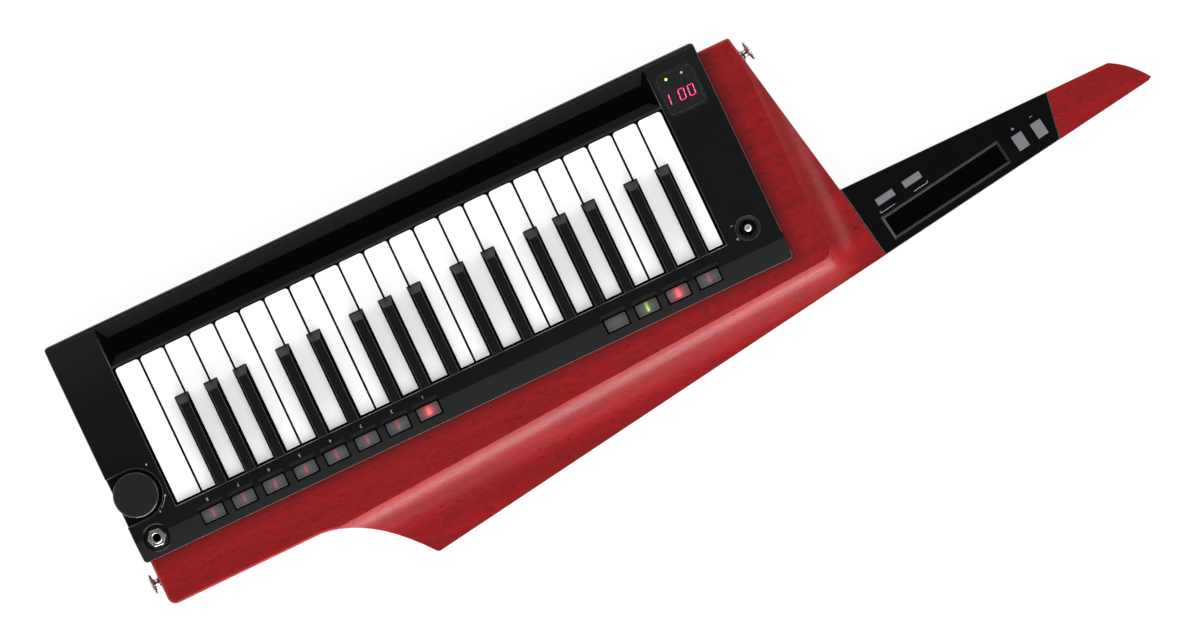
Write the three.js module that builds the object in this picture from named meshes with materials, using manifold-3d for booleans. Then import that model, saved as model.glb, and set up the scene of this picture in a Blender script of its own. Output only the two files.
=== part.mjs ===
// A keytar: a three-octave keyboard with a neck, in a red wooden body, lying on its back.
// Millimetres, +Z up. +X runs from the neck to the tail, +Y from the keys' fronts to the spike.
// Everything is drawn from one corner, the left rear corner of the slot that the keys stand in,
// at the height of the wooden back. The whole is then moved onto the middle of its own box.
import * as THREE from 'three';
import { mergeVertices } from 'three/addons/utils/BufferGeometryUtils.js';
import Module from 'manifold-3d';

const wasm = await Module();
wasm.setup();

// Clearances
const SEAT_GAP = 0.3; // between pieces that rest on each other
const RUN_GAP = 0.4; // round a piece that moves in a hole

// Keys
const OCTAVES = 3;
const KEY_PITCH = 20.7; // one white key with its gap
const KEY_GAP = 1.0;
const KEY_SIDE_GAP = 1.4; // from the slot's ends to the outer keys' pitch lines
const WHITE_LENGTH = 110.5; // the part that shows
const WHITE_HEIGHT = 9;
const WHITE_RISE = 1.5; // above the panel
const WHITE_CORNER = 2.5;
const WHITE_FRONT_GAP = 0.9;
const WHITE_REAR_GAP = 2.5; // the dark gap behind the white tops
const BLACK_LENGTH = 73.3;
const BLACK_WIDTH = 10.6;
const BLACK_TOP_WIDTH = 8.1;
const BLACK_RISE = 9.5; // above the white keys
const BLACK_SLOPE = 6.5; // how far the sloped front runs back
const BLACK_SHOULDER = 0.5; // the straight side above the white tops
const BLACK_REAR_GAP = 0.4;
const BLACK_NOTCH_GAP = 0.8; // from a black key's front to the white key's shoulder
const TAIL_INSET = 1; // a key's tail is narrower than the key on each side
const TAIL_HEIGHT = 7;
const TAIL_DROP = 6; // from the white tops down to the tail's top
const TAIL_OVERLAP = 4; // how far a tail runs into its key
const HINGE_SETBACK = 7.4; // behind the slot
const TAIL_PAST_HINGE = 3.5;
const SHARP_OFFSETS = { c: -2.6, d: 2.5, f: -3.4, g: 0, a: 3.4 };
const WHITE_NAMES = ['c', 'd', 'e', 'f', 'g', 'a', 'b'];

// Wooden body
const WOOD_THICKNESS = 44;
const NECK_TOP = 30;
const NECK_UNDERSIDE = 5; // the neck is thinner than the body by this much at its back
const NECK_LENGTH = 249.6; // from the horn to the tip
const NECK_FRONT = -1.2; // the neck's front side, from the slot's rear edge
const HORN_SHIFT = 27.2; // the horn's slanted edge runs this far back to the tail
const HORN_OVERHANG = 26.9; // the horn's lower corner, from the panel's left end
const BODY_FRONT = -140.8;
const BODY_CORNER = 3;
const TAIL_CORNER = 6.4;
const TAIL_WIDTH = 37.1; // wood behind the panel at the tail
const TAIL_INSET_X = 3.7; // wood short of the panel's right end
const REAR_ANGLE = THREE.MathUtils.degToRad(8.24); // the rear edge against the panel
const SPIKE_FROM_TAIL = 200.3; // the spike's tip, from the body's right end
const SPIKE_HEIGHT = 116.3;
const SPIKE_BLUNT = 1.6;
const CURVE_RUN = 73.5; // the hollow curve behind the spike
const CURVE_HANDLE = [36.8, 2.4];
const NECK_TIP_BLUNT = 1.4; // the tip point lies this far below the rear edge's line
const NECK_TIP_RUN = 25.6;
const NECK_RAMP = [26, 14]; // the ramp under the neck, from this side of the heel to that
const NECK_RAMP_EASE = 6; // the ramp's steeper middle, to each side
const BACK_BEVEL = 2;
const BEVEL_SHARE = 0.1; // of the neck tip's width, which the bevel doesn't pass

// Cove: the hollow that the flat top falls away in
const COVE_WIDTH = 30;
const COVE_STEPS = 10;
const RIDGE_ANGLE = THREE.MathUtils.degToRad(3.48);
const RIDGE_LEFT = 28.3; // flat wood left of the panel
const RIDGE_REAR = 12.2; // flat wood behind the panel near its left end
const RIDGE_REAR_AT = 17; // where that is measured, left of the panel's end
const RIDGE_RADIUS = 10;

// Top panel
const PANEL_WALL = 2.5;
const PANEL_RISE = 7; // above the wood
const LEFT_CHEEK = 42;
const RIGHT_CHEEK = 40.2;
const REAR_BAND = 29.9;
const FRONT_BAND = 35.6;
const BEND_SETBACK = 13.1; // where the rear band starts to slope
const REAR_DROP = 4.5;
const ROLL_START = 14; // the front edge starts to roll down
const ROLL_EDGE = 3;
const ROLL_DROP = 1.2;
const EDGE_DROP = 5;
const SKIRT_DEPTH = 23; // the front and right sides, from the panel's top
const PANEL_CORNER = 3.3;

// Long ribbon trough
const LIP_WIDTH = 1.2;
const TROUGH_END_SLOPE = 6.5;
const TROUGH_REAR_SLOPE = 6.2;
const TROUGH_FRONT_SLOPE = 11.8;
const RIBBON_WIDTH = 15.4;
const TROUGH_DEPTH = 6;

// Panel buttons
const BUTTON_PITCH = 25.6;
const BUTTON_SIZE = [18.4, 10.4];
const BUTTON_HOLE_GAP = 0.75;
const BUTTON_CENTRE_Y = 17;
const BUTTON_FLANGE = 1.6; // past the cap at its ends
const BUTTON_FLANGE_THICK = 1.2;
const BUTTON_CAP_DEPTH = 6;
const MODE_BUTTONS = 4;
const PROGRAM_BUTTONS = 8;
const MODE_START = 22.6; // first centre, from the slot's left end
const PROGRAM_END = 23.2; // last centre, from the slot's right end

// Display window
const WINDOW_SIZE = [30.9, 33];
const WINDOW_RIGHT = 3.4; // from the slot's left end
const WINDOW_FRONT = 12.3; // from the panel's front edge
const WINDOW_CORNER = 3;
const WINDOW_DEPTH = 1;

// Lever switch
const LEVER_CENTRE = [-20, -4.8];
const LEVER_DISH_RADIUS = 9.4;
const LEVER_SEAT_RADIUS = 6.6;
const LEVER_DISH_DEPTH = 2.4;
const LEVER_SLOT = [6.8, 11.4];
const LEVER_BOSS_RADIUS = 11.4;
const LEVER_BALL = 3.5;
const LEVER_PIVOT_DEPTH = 8; // below the panel's top
const LEVER_NECK_RADIUS = 1.5;
const LEVER_TIP_RADIUS = 2.9;
const LEVER_RISE = 7; // above the panel's top

// Volume knob and its scooped pocket
const CONTROL_INSET = 16.5; // knob and jack, from the panel's right end
const KNOB_RADIUS = 17.3;
const KNOB_CENTRE_Y = -20.2;
const KNOB_HEIGHT = 12.1;
const KNOB_EDGE = 0.9;
const POCKET_RADIUS = 19.7;
const POCKET_DEPTH = 7;
const STEM_RADIUS = 3;
const POT_RADIUS = 8.5;

// Headphone jack
const JACK_CENTRE_Y = 15.4;
const JACK_BORE = 3.2;
const JACK_BUSH = 4.5;
const JACK_BARREL = 7;
const JACK_DEPTH = 29; // from the bush's top to the barrel's bottom
const JACK_FLOOR = 3;
const JACK_NUT_ACROSS = 12.7;
const JACK_NUT_HEIGHT = 3;
const JACK_RECESS_RADIUS = 10.2;
const JACK_RECESS_DEPTH = 4;

// Cavity, chassis and rear cover
const BACK_WALL = 10;
const CAVITY_LEFT = 37.5;
const CAVITY_RIGHT_WALL = 4.3;
const CAVITY_FRONT_WALL = 4.2;
const CAVITY_REAR = 26.9;
const CHASSIS_SHEET = 3;
const CHASSIS_BASE = 26; // height of its floor above the wooden back
const CHASSIS_END_GAP = 1;
const CHASSIS_FRONT_LEG = 118;
const STOP_RAIL = [98, 108, 34.6]; // from and to in front of the slot's rear edge, and its top
const SHELF_DEPTH = 25.4;
const SHELF_FRONT = 12;
const SHELF_THICK = 2;
const COVER_SIZE = [300, 100];
const COVER_CENTRE_Y = -52;
const COVER_THICK = 3;
const COVER_INSET = 0.4; // inside the wooden back
const COVER_LAP = 8;
const COVER_CORNER = 6;

// Strap pins
const PIN_HEIGHT = 22;
const PIN_TAIL_Y = 46.3;
const PIN_HORN_UP = 13.2; // from the horn's lower end
const PIN_SHANK = 2.5;
const PIN_SHANK_LENGTH = 9.5;
const PIN_FLANGE = 5.5;
const PIN_HEAD = 8;
const PIN_LENGTH = 9;

// Neck panel, keypad and short ribbon
const NECK_PANEL_LENGTH = 173.3; // along the neck's front side
const NECK_PANEL_LEAN = [6, 9.9]; // how far its two ends lean, left end and right end
const NECK_PANEL_THICK = 9.7;
const NECK_PANEL_TOP_WALL = 2.7;
const NECK_RIBBON_PLACE = { back: 72.6, share: 0.688 }; // from the heel, and across the neck
const NECK_RIBBON_SIZE = [101.5, 15.8];
const NECK_RIBBON_DEPTH = 1.2;
const OCTAVE_PADS = { back: 147.55, share: 0.6063, pitch: 17.1, size: [9.5, 13.1] };
const FUNCTION_PADS = { back: 40.4, share: 0.3276, pitch: 24.2, size: [16, 6] };
const KEYPAD_WEB = 2.5;
const PAD_RISE = 0.5;

// Roundness
const ROUND = 40;
const FINE_ROUND = 56;
const CORNER_STEPS = 4;

// Sizes that follow from those above
const WHITE_COUNT = OCTAVES * WHITE_NAMES.length + 1;
const SLOT_WIDTH = WHITE_COUNT * KEY_PITCH + 2 * KEY_SIDE_GAP;
const SLOT_LENGTH = WHITE_REAR_GAP + WHITE_LENGTH + WHITE_FRONT_GAP;
const WHITE_FRONT_Y = -WHITE_REAR_GAP - WHITE_LENGTH;
const BLACK_FRONT_Y = -BLACK_REAR_GAP - BLACK_LENGTH;
const PANEL_TOP = WOOD_THICKNESS + PANEL_RISE;
const PANEL_CEILING = PANEL_TOP - PANEL_WALL;
const PANEL_SEAT = WOOD_THICKNESS + SEAT_GAP;
const PANEL_LEFT = -LEFT_CHEEK;
const PANEL_RIGHT = SLOT_WIDTH + RIGHT_CHEEK;
const PANEL_FRONT = -SLOT_LENGTH - FRONT_BAND;
const WHITE_TOP = PANEL_TOP + WHITE_RISE;
const WHITE_BOTTOM = WHITE_TOP - WHITE_HEIGHT;
const BLACK_TOP = WHITE_TOP + BLACK_RISE;
const TAIL_TOP = WHITE_TOP - TAIL_DROP;
const TAIL_BOTTOM = TAIL_TOP - TAIL_HEIGHT;
const BODY_RIGHT = PANEL_RIGHT - TAIL_INSET_X;
const HORN_X = PANEL_LEFT - HORN_OVERHANG;
const HEEL_X = HORN_X - HORN_SHIFT;
const TROUGH_BACK = PANEL_TOP - TROUGH_DEPTH - PANEL_WALL;
const CONTROL_X = PANEL_RIGHT - CONTROL_INSET;
const POCKET_FLOOR = PANEL_TOP - POCKET_DEPTH;
const JACK_FLOOR_Z = PANEL_TOP - JACK_RECESS_DEPTH;
const NECK_POCKET = NECK_TOP - NECK_PANEL_THICK - SEAT_GAP;
const REAR_SLOPE = Math.tan(REAR_ANGLE);
const SPIKE_X = BODY_RIGHT - SPIKE_FROM_TAIL;
const FAR = 2 * (NECK_LENGTH + SLOT_WIDTH); // past any edge of the body

// Solids and geometries

// A closed geometry as a solid that can be cut and joined.
function solid(geometry) {
  const bare = geometry.clone();
  bare.deleteAttribute('normal');
  bare.deleteAttribute('uv');
  const merged = mergeVertices(bare, 1e-4);
  const corners = [];
  const index = merged.index.array;
  for (let i = 0; i < index.length; i += 3) {
    const [a, b, c] = [index[i], index[i + 1], index[i + 2]];
    if (a !== b && b !== c && c !== a) corners.push(a, b, c);
  }
  return new wasm.Manifold(new wasm.Mesh({
    numProp: 3,
    vertProperties: new Float32Array(merged.attributes.position.array),
    triVerts: new Uint32Array(corners),
  }));
}

function geometryOf(body) {
  const mesh = body.getMesh();
  const geometry = new THREE.BufferGeometry();
  geometry.setAttribute('position', new THREE.BufferAttribute(mesh.vertProperties, 3));
  geometry.setIndex(new THREE.BufferAttribute(mesh.triVerts, 1));
  geometry.computeVertexNormals();
  return geometry;
}

function joined(first, ...others) {
  return others.reduce((sum, other) => sum.add(other), first);
}

function cut(body, ...tools) {
  return tools.reduce((rest, tool) => rest.subtract(tool), body);
}

function shapeOf(points) {
  return new THREE.Shape(points.map(([x, y]) => new THREE.Vector2(x, y)));
}

// A curved outline as corners, without the doubled ones where an arc meets a line.
function cornered(shape, steps) {
  const corners = [];
  for (const point of shape.getPoints(steps)) {
    if (corners.every((other) => other.distanceTo(point) > 1e-3)) corners.push(point);
  }
  return new THREE.Shape(corners);
}

// A flat outline raised from one height to another.
function raised(shape, z0, z1, steps = CORNER_STEPS) {
  const geometry = new THREE.ExtrudeGeometry(cornered(shape, steps), {
    depth: z1 - z0,
    bevelEnabled: false,
  });
  geometry.translate(0, 0, z0);
  return solid(geometry);
}

// An outline whose two directions and run are given, such as a section swept along a straight line.
function swept(shape, [across, up, along], start, length) {
  const geometry = new THREE.ExtrudeGeometry(shape, { depth: length, bevelEnabled: false });
  geometry.applyMatrix4(new THREE.Matrix4().makeBasis(across, up, along));
  geometry.translate(...start);
  return solid(geometry);
}

const X = new THREE.Vector3(1, 0, 0);
const Y = new THREE.Vector3(0, 1, 0);
const Z = new THREE.Vector3(0, 0, 1);

// A section in Y and Z that runs along X.
function alongX(points, x0, x1) {
  return swept(shapeOf(points), [Y, Z, X], [x0, 0, 0], x1 - x0);
}

// A section in X and Z that runs along Y.
function alongY(points, y0, y1) {
  return swept(shapeOf(points), [X, Z, Y.clone().negate()], [0, y1, 0], y1 - y0);
}

function block([x0, y0, z0], [x1, y1, z1]) {
  const geometry = new THREE.BoxGeometry(x1 - x0, y1 - y0, z1 - z0);
  geometry.translate((x0 + x1) / 2, (y0 + y1) / 2, (z0 + z1) / 2);
  return solid(geometry);
}

// A block whose top and bottom are rectangles of their own, [x0, y0, x1, y1].
function tapered(bottom, z0, top, z1) {
  const geometry = new THREE.BoxGeometry(1, 1, 1);
  const place = geometry.attributes.position;
  for (let i = 0; i < place.count; i += 1) {
    const [x0, y0, x1, y1] = place.getZ(i) > 0 ? top : bottom;
    const x = place.getX(i) > 0 ? x1 : x0;
    const y = place.getY(i) > 0 ? y1 : y0;
    place.setXYZ(i, x, y, place.getZ(i) > 0 ? z1 : z0);
  }
  return solid(geometry);
}

function disc([x, y], radius, z0, z1, sides = ROUND) {
  const geometry = new THREE.CylinderGeometry(radius, radius, z1 - z0, sides);
  geometry.rotateX(Math.PI / 2);
  geometry.translate(x, y, (z0 + z1) / 2);
  return solid(geometry);
}

// A profile of [radius, height] points turned about an upright axis.
function turned(profile, [x, y], sides = ROUND) {
  const points = profile.map(([r, z]) => new THREE.Vector2(r, z));
  const geometry = new THREE.LatheGeometry(points, sides);
  geometry.rotateX(Math.PI / 2);
  geometry.translate(x, y, 0);
  return solid(geometry);
}

function roundedShape(x0, y0, x1, y1, radius) {
  const shape = new THREE.Shape();
  shape.moveTo(x0 + radius, y0);
  shape.lineTo(x1 - radius, y0);
  shape.absarc(x1 - radius, y0 + radius, radius, -Math.PI / 2, 0);
  shape.lineTo(x1, y1 - radius);
  shape.absarc(x1 - radius, y1 - radius, radius, 0, Math.PI / 2);
  shape.lineTo(x0 + radius, y1);
  shape.absarc(x0 + radius, y1 - radius, radius, Math.PI / 2, Math.PI);
  shape.lineTo(x0, y0 + radius);
  shape.absarc(x0 + radius, y0 + radius, radius, Math.PI, 1.5 * Math.PI);
  return shape;
}

// The rear edge of the whole body is one straight line from the neck's tip to the spike.
function rearEdgeY(x) {
  return SPIKE_HEIGHT + (x - SPIKE_X) * REAR_SLOPE;
}

// Wooden body

// How far the neck's tip point lies above its front side.
function tipRise() {
  return rearEdgeY(HEEL_X - NECK_LENGTH) - NECK_TIP_BLUNT - NECK_FRONT;
}

function bodyOutline() {
  const tipX = HEEL_X - NECK_LENGTH;
  const tipY = NECK_FRONT + tipRise();
  const curveEndX = SPIKE_X + SPIKE_BLUNT + CURVE_RUN;
  const curveEndY = REAR_BAND + TAIL_WIDTH - 1;
  const shape = new THREE.Shape();
  shape.moveTo(tipX, tipY);
  shape.quadraticCurveTo(tipX + NECK_TIP_RUN * 0.42, NECK_FRONT + tipRise() * 0.32,
    tipX + NECK_TIP_RUN, NECK_FRONT);
  shape.lineTo(HEEL_X, NECK_FRONT);
  shape.lineTo(HORN_X, BODY_FRONT + BODY_CORNER);
  shape.quadraticCurveTo(HORN_X, BODY_FRONT, HORN_X + BODY_CORNER, BODY_FRONT);
  shape.lineTo(BODY_RIGHT - BODY_CORNER, BODY_FRONT);
  shape.lineTo(BODY_RIGHT, BODY_FRONT + BODY_CORNER);
  shape.lineTo(BODY_RIGHT, REAR_BAND + TAIL_WIDTH - TAIL_CORNER);
  shape.absarc(BODY_RIGHT - TAIL_CORNER, REAR_BAND + TAIL_WIDTH - TAIL_CORNER, TAIL_CORNER,
    0, Math.PI / 2);
  shape.lineTo(curveEndX, curveEndY);
  shape.quadraticCurveTo(SPIKE_X + SPIKE_BLUNT + CURVE_HANDLE[0], curveEndY + CURVE_HANDLE[1],
    SPIKE_X + SPIKE_BLUNT, SPIKE_HEIGHT - SPIKE_BLUNT / 2);
  shape.lineTo(SPIKE_X, SPIKE_HEIGHT);
  shape.lineTo(tipX + 2 * SPIKE_BLUNT, rearEdgeY(tipX + 2 * SPIKE_BLUNT));
  return shape;
}

function bodyBlank() {
  const bevel = Math.min(BACK_BEVEL, BEVEL_SHARE * tipRise());
  const geometry = new THREE.ExtrudeGeometry(cornered(bodyOutline(), 10), {
    depth: WOOD_THICKNESS - 2 * bevel,
    bevelThickness: bevel,
    bevelSize: bevel,
    bevelOffset: -bevel,
    bevelSegments: 2,
  });
  geometry.translate(0, 0, bevel);
  return solid(geometry);
}

// What lies above the cove, in distance from the ridge and height.
function coveSection() {
  const fall = WOOD_THICKNESS - NECK_TOP;
  const radius = (COVE_WIDTH ** 2 + fall ** 2) / (2 * fall);
  const steepest = Math.asin(COVE_WIDTH / radius);
  const points = [];
  for (let i = 0; i <= COVE_STEPS; i += 1) {
    const angle = steepest * (1 - i / COVE_STEPS);
    points.push([COVE_WIDTH - radius * Math.sin(angle), NECK_TOP + radius * (1 - Math.cos(angle))]);
  }
  return [...points, [FAR, NECK_TOP], [FAR, 2 * WOOD_THICKNESS], [0, 2 * WOOD_THICKNESS]];
}

// The ridge runs up the left of the panel, turns a round corner and runs to the spike's foot.
function coveCutters() {
  const section = coveSection();
  const ridgeX = PANEL_LEFT - RIDGE_LEFT;
  const centreX = ridgeX + RIDGE_RADIUS;
  const ridgeY = REAR_BAND + RIDGE_REAR + (centreX - PANEL_LEFT + RIDGE_REAR_AT) * Math.tan(RIDGE_ANGLE);
  const centreY = ridgeY - RIDGE_RADIUS / Math.cos(RIDGE_ANGLE);
  const along = new THREE.Vector3(Math.cos(RIDGE_ANGLE), Math.sin(RIDGE_ANGLE), 0);
  const outward = new THREE.Vector3(-Math.sin(RIDGE_ANGLE), Math.cos(RIDGE_ANGLE), 0);
  const lap = 0.02; // the straight runs reach this far into the corner
  const start = new THREE.Vector3(centreX, centreY, 0)
    .addScaledVector(outward, RIDGE_RADIUS)
    .addScaledVector(along, -lap);
  const rear = swept(shapeOf(section), [outward, Z, along], start.toArray(), FAR);
  const left = swept(shapeOf(section), [X.clone().negate(), Z, Y],
    [ridgeX, centreY - FAR, 0], FAR + lap);
  const ring = section.map(([d, z]) => [d + RIDGE_RADIUS, z]);
  const sector = raised(shapeOf([[centreX, centreY], [centreX + outward.x * 2 * FAR,
    centreY + outward.y * 2 * FAR], [centreX - 2 * FAR, centreY + 2 * FAR],
  [centreX - 2 * FAR, centreY]]), 0, 3 * WOOD_THICKNESS);
  const corner = turned([...ring, ring[0]], [centreX, centreY], 2 * FINE_ROUND).intersect(sector);
  return [rear, left, corner];
}

// The neck's back is lifted, with a ramp down to the body's back behind the horn's corner.
function neckUndercut() {
  const rampEnd = HEEL_X + NECK_RAMP[1];
  const rampStart = HEEL_X - NECK_RAMP[0];
  const middle = (rampStart + rampEnd) / 2;
  const section = [[-FAR, -1], [rampEnd, -1], [rampEnd, 0],
    [middle + NECK_RAMP_EASE, NECK_UNDERSIDE * 0.2], [middle, NECK_UNDERSIDE / 2],
    [middle - NECK_RAMP_EASE, NECK_UNDERSIDE * 0.8], [rampStart, NECK_UNDERSIDE],
    [-FAR, NECK_UNDERSIDE]];
  return alongY(section, NECK_FRONT - 1, SPIKE_HEIGHT);
}

// The neck panel's two ends lean: [x at the neck's front side, x at its rear edge].
function neckPanelEnds() {
  const [leanLeft, leanRight] = NECK_PANEL_LEAN;
  const left = HEEL_X - NECK_PANEL_LENGTH;
  return [[left, left + leanLeft], [HEEL_X, HEEL_X - leanRight]];
}

function neckPanelOutline(gap, inset) {
  const [[left, rearLeft], [right, rearRight]] = neckPanelEnds();
  const side = gap + inset;
  const front = NECK_FRONT + inset;
  const rearInset = inset / Math.cos(REAR_ANGLE);
  return shapeOf([[left + side, front], [right - side, front],
    [rearRight - side, rearEdgeY(rearRight - side) - rearInset],
    [rearLeft + side, rearEdgeY(rearLeft + side) - rearInset]]);
}

// The seat for the neck panel, with the same leaning ends run out past both sides of the neck.
function neckSeat() {
  const past = 0.2; // of the neck's width
  const [[left, rearLeft], [right, rearRight]] = neckPanelEnds();
  const runOut = (front, rear, share) => [front + share * (rear - front),
    NECK_FRONT + share * (rearEdgeY(rear) - NECK_FRONT)];
  const leftFront = runOut(left, rearLeft, -past);
  return raised(shapeOf([leftFront, [right - NECK_PANEL_THICK, leftFront[1]], [right, NECK_FRONT],
    runOut(right, rearRight, 1 + past), runOut(left, rearLeft, 1 + past)]), NECK_POCKET,
  2 * WOOD_THICKNESS);
}

function makeWoodBody() {
  const cavity = block([-CAVITY_LEFT, BODY_FRONT + CAVITY_FRONT_WALL, BACK_WALL],
    [BODY_RIGHT - CAVITY_RIGHT_WALL, CAVITY_REAR, 2 * WOOD_THICKNESS]);
  const middleX = SLOT_WIDTH / 2;
  const [length, width] = COVER_SIZE;
  const coverBox = (grow, radius) => roundedShape(middleX - length / 2 - grow,
    COVER_CENTRE_Y - width / 2 - grow, middleX + length / 2 + grow,
    COVER_CENTRE_Y + width / 2 + grow, radius);
  const rebate = raised(coverBox(SEAT_GAP, COVER_CORNER), -1,
    COVER_INSET + COVER_THICK + SEAT_GAP);
  const window = raised(coverBox(-COVER_LAP, COVER_CORNER / 2), -1, BACK_WALL + 1);
  const knobReach = POCKET_RADIUS + PANEL_WALL + SEAT_GAP;
  const knobNotch = block([CONTROL_X, KNOB_CENTRE_Y - knobReach,
    POCKET_FLOOR - PANEL_WALL - SEAT_GAP], [BODY_RIGHT + 1, KNOB_CENTRE_Y + knobReach, FAR]);
  const troughNotch = block([-PANEL_WALL - SEAT_GAP, BODY_FRONT - 1, TROUGH_BACK - SEAT_GAP],
    [SLOT_WIDTH + PANEL_WALL + SEAT_GAP, CAVITY_REAR, FAR]);
  return cut(bodyBlank(), ...coveCutters(), neckUndercut(), cavity, rebate, window,
    neckSeat(), knobNotch, troughNotch,
    pinHole(tailPinPlace()), pinHole(hornPinPlace()));
}

// Strap pins

function tailPinPlace() {
  return new THREE.Matrix4().makeRotationY(Math.PI / 2)
    .premultiply(new THREE.Matrix4().makeTranslation(BODY_RIGHT, PIN_TAIL_Y, PIN_HEIGHT));
}

function hornPinPlace() {
  const bottom = BODY_FRONT + BODY_CORNER;
  const run = NECK_FRONT - bottom;
  const lean = Math.atan2(HORN_SHIFT, run);
  const share = PIN_HORN_UP / run;
  return new THREE.Matrix4().makeRotationY(-Math.PI / 2)
    .premultiply(new THREE.Matrix4().makeRotationZ(lean))
    .premultiply(new THREE.Matrix4().makeTranslation(HORN_X - HORN_SHIFT * share,
      bottom + PIN_HORN_UP, PIN_HEIGHT));
}

function pinHole(place) {
  const geometry = new THREE.CylinderGeometry(PIN_SHANK + SEAT_GAP, PIN_SHANK + SEAT_GAP,
    2 * (PIN_SHANK_LENGTH + 1), 20);
  geometry.rotateX(Math.PI / 2);
  geometry.applyMatrix4(place);
  return solid(geometry);
}

function makeStrapPin(place) {
  const waist = PIN_SHANK + 0.6;
  const profile = [[0, -PIN_SHANK_LENGTH], [PIN_SHANK, -PIN_SHANK_LENGTH], [PIN_SHANK, SEAT_GAP],
    [PIN_FLANGE, SEAT_GAP], [PIN_FLANGE, 1.4], [waist, 2.6], [waist, PIN_LENGTH - 3.4],
    [PIN_HEAD - 0.8, PIN_LENGTH - 2.6], [PIN_HEAD, PIN_LENGTH - 1.7],
    [PIN_HEAD - 0.8, PIN_LENGTH - 0.6], [PIN_HEAD / 2, PIN_LENGTH], [0, PIN_LENGTH]];
  const points = profile.map(([r, z]) => new THREE.Vector2(r, z));
  const geometry = new THREE.LatheGeometry(points, 24);
  geometry.rotateX(Math.PI / 2);
  geometry.applyMatrix4(place);
  return solid(geometry);
}

// Top panel

// The panel's section from its rear edge over the bend to the rolled front edge.
function panelSection(wall, bottom) {
  const front = PANEL_FRONT + wall;
  const rear = REAR_BAND - wall;
  const top = PANEL_TOP - wall;
  const slope = REAR_DROP / (REAR_BAND - BEND_SETBACK);
  if (wall > 0) {
    return [[front, bottom], [rear, bottom], [rear, top - slope * (rear - BEND_SETBACK)],
      [BEND_SETBACK, top], [front, top]];
  }
  return [[front, bottom], [rear, bottom], [rear, top - REAR_DROP], [BEND_SETBACK, top],
    [front + ROLL_START, top], [front + ROLL_EDGE, top - ROLL_DROP],
    [front + ROLL_EDGE * 0.35, top - ROLL_DROP - 1.3], [front, top - EDGE_DROP]];
}

function panelPlan() {
  return roundedShape(PANEL_LEFT, PANEL_FRONT, PANEL_RIGHT, REAR_BAND, PANEL_CORNER);
}

function troughCutter() {
  const rear = -SLOT_LENGTH - LIP_WIDTH;
  const stripRear = rear - TROUGH_REAR_SLOPE;
  const stripFront = stripRear - RIBBON_WIDTH;
  return tapered(
    [TROUGH_END_SLOPE, stripFront, SLOT_WIDTH - TROUGH_END_SLOPE, stripRear],
    PANEL_TOP - TROUGH_DEPTH,
    [0, stripFront - TROUGH_FRONT_SLOPE, SLOT_WIDTH, rear],
    PANEL_TOP + 0.01,
  );
}

function buttonCentres() {
  const mode = Array.from({ length: MODE_BUTTONS }, (_, i) => MODE_START + i * BUTTON_PITCH);
  const last = SLOT_WIDTH - PROGRAM_END;
  const program = Array.from({ length: PROGRAM_BUTTONS },
    (_, i) => last - (PROGRAM_BUTTONS - 1 - i) * BUTTON_PITCH);
  return { mode, program };
}

function buttonHole(x) {
  const [width, depth] = BUTTON_SIZE;
  return block(
    [x - width / 2 - BUTTON_HOLE_GAP, BUTTON_CENTRE_Y - depth / 2 - BUTTON_HOLE_GAP, PANEL_SEAT],
    [x + width / 2 + BUTTON_HOLE_GAP, BUTTON_CENTRE_Y + depth / 2 + BUTTON_HOLE_GAP, FAR],
  );
}

// The knob's pocket is round towards the keys and open at the panel's right side.
function pocket(radius, z0, z1) {
  const centre = [CONTROL_X, KNOB_CENTRE_Y];
  const open = block([CONTROL_X, KNOB_CENTRE_Y - radius, z0],
    [PANEL_RIGHT + 5, KNOB_CENTRE_Y + radius, z1]);
  return joined(disc(centre, radius, z0, z1, FINE_ROUND), open);
}

function leverSlot() {
  const [width, length] = LEVER_SLOT;
  const [x, y] = LEVER_CENTRE;
  const shape = roundedShape(x - width / 2, y - length / 2, x + width / 2, y + length / 2,
    width / 2 - 0.01);
  return raised(shape, PANEL_SEAT - 5, PANEL_TOP + 1);
}

function leverDish() {
  const top = PANEL_TOP + 0.01;
  return turned([[0, PANEL_TOP - LEVER_DISH_DEPTH], [LEVER_SEAT_RADIUS, PANEL_TOP - LEVER_DISH_DEPTH],
    [LEVER_DISH_RADIUS, top], [0, top]], LEVER_CENTRE);
}

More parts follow.
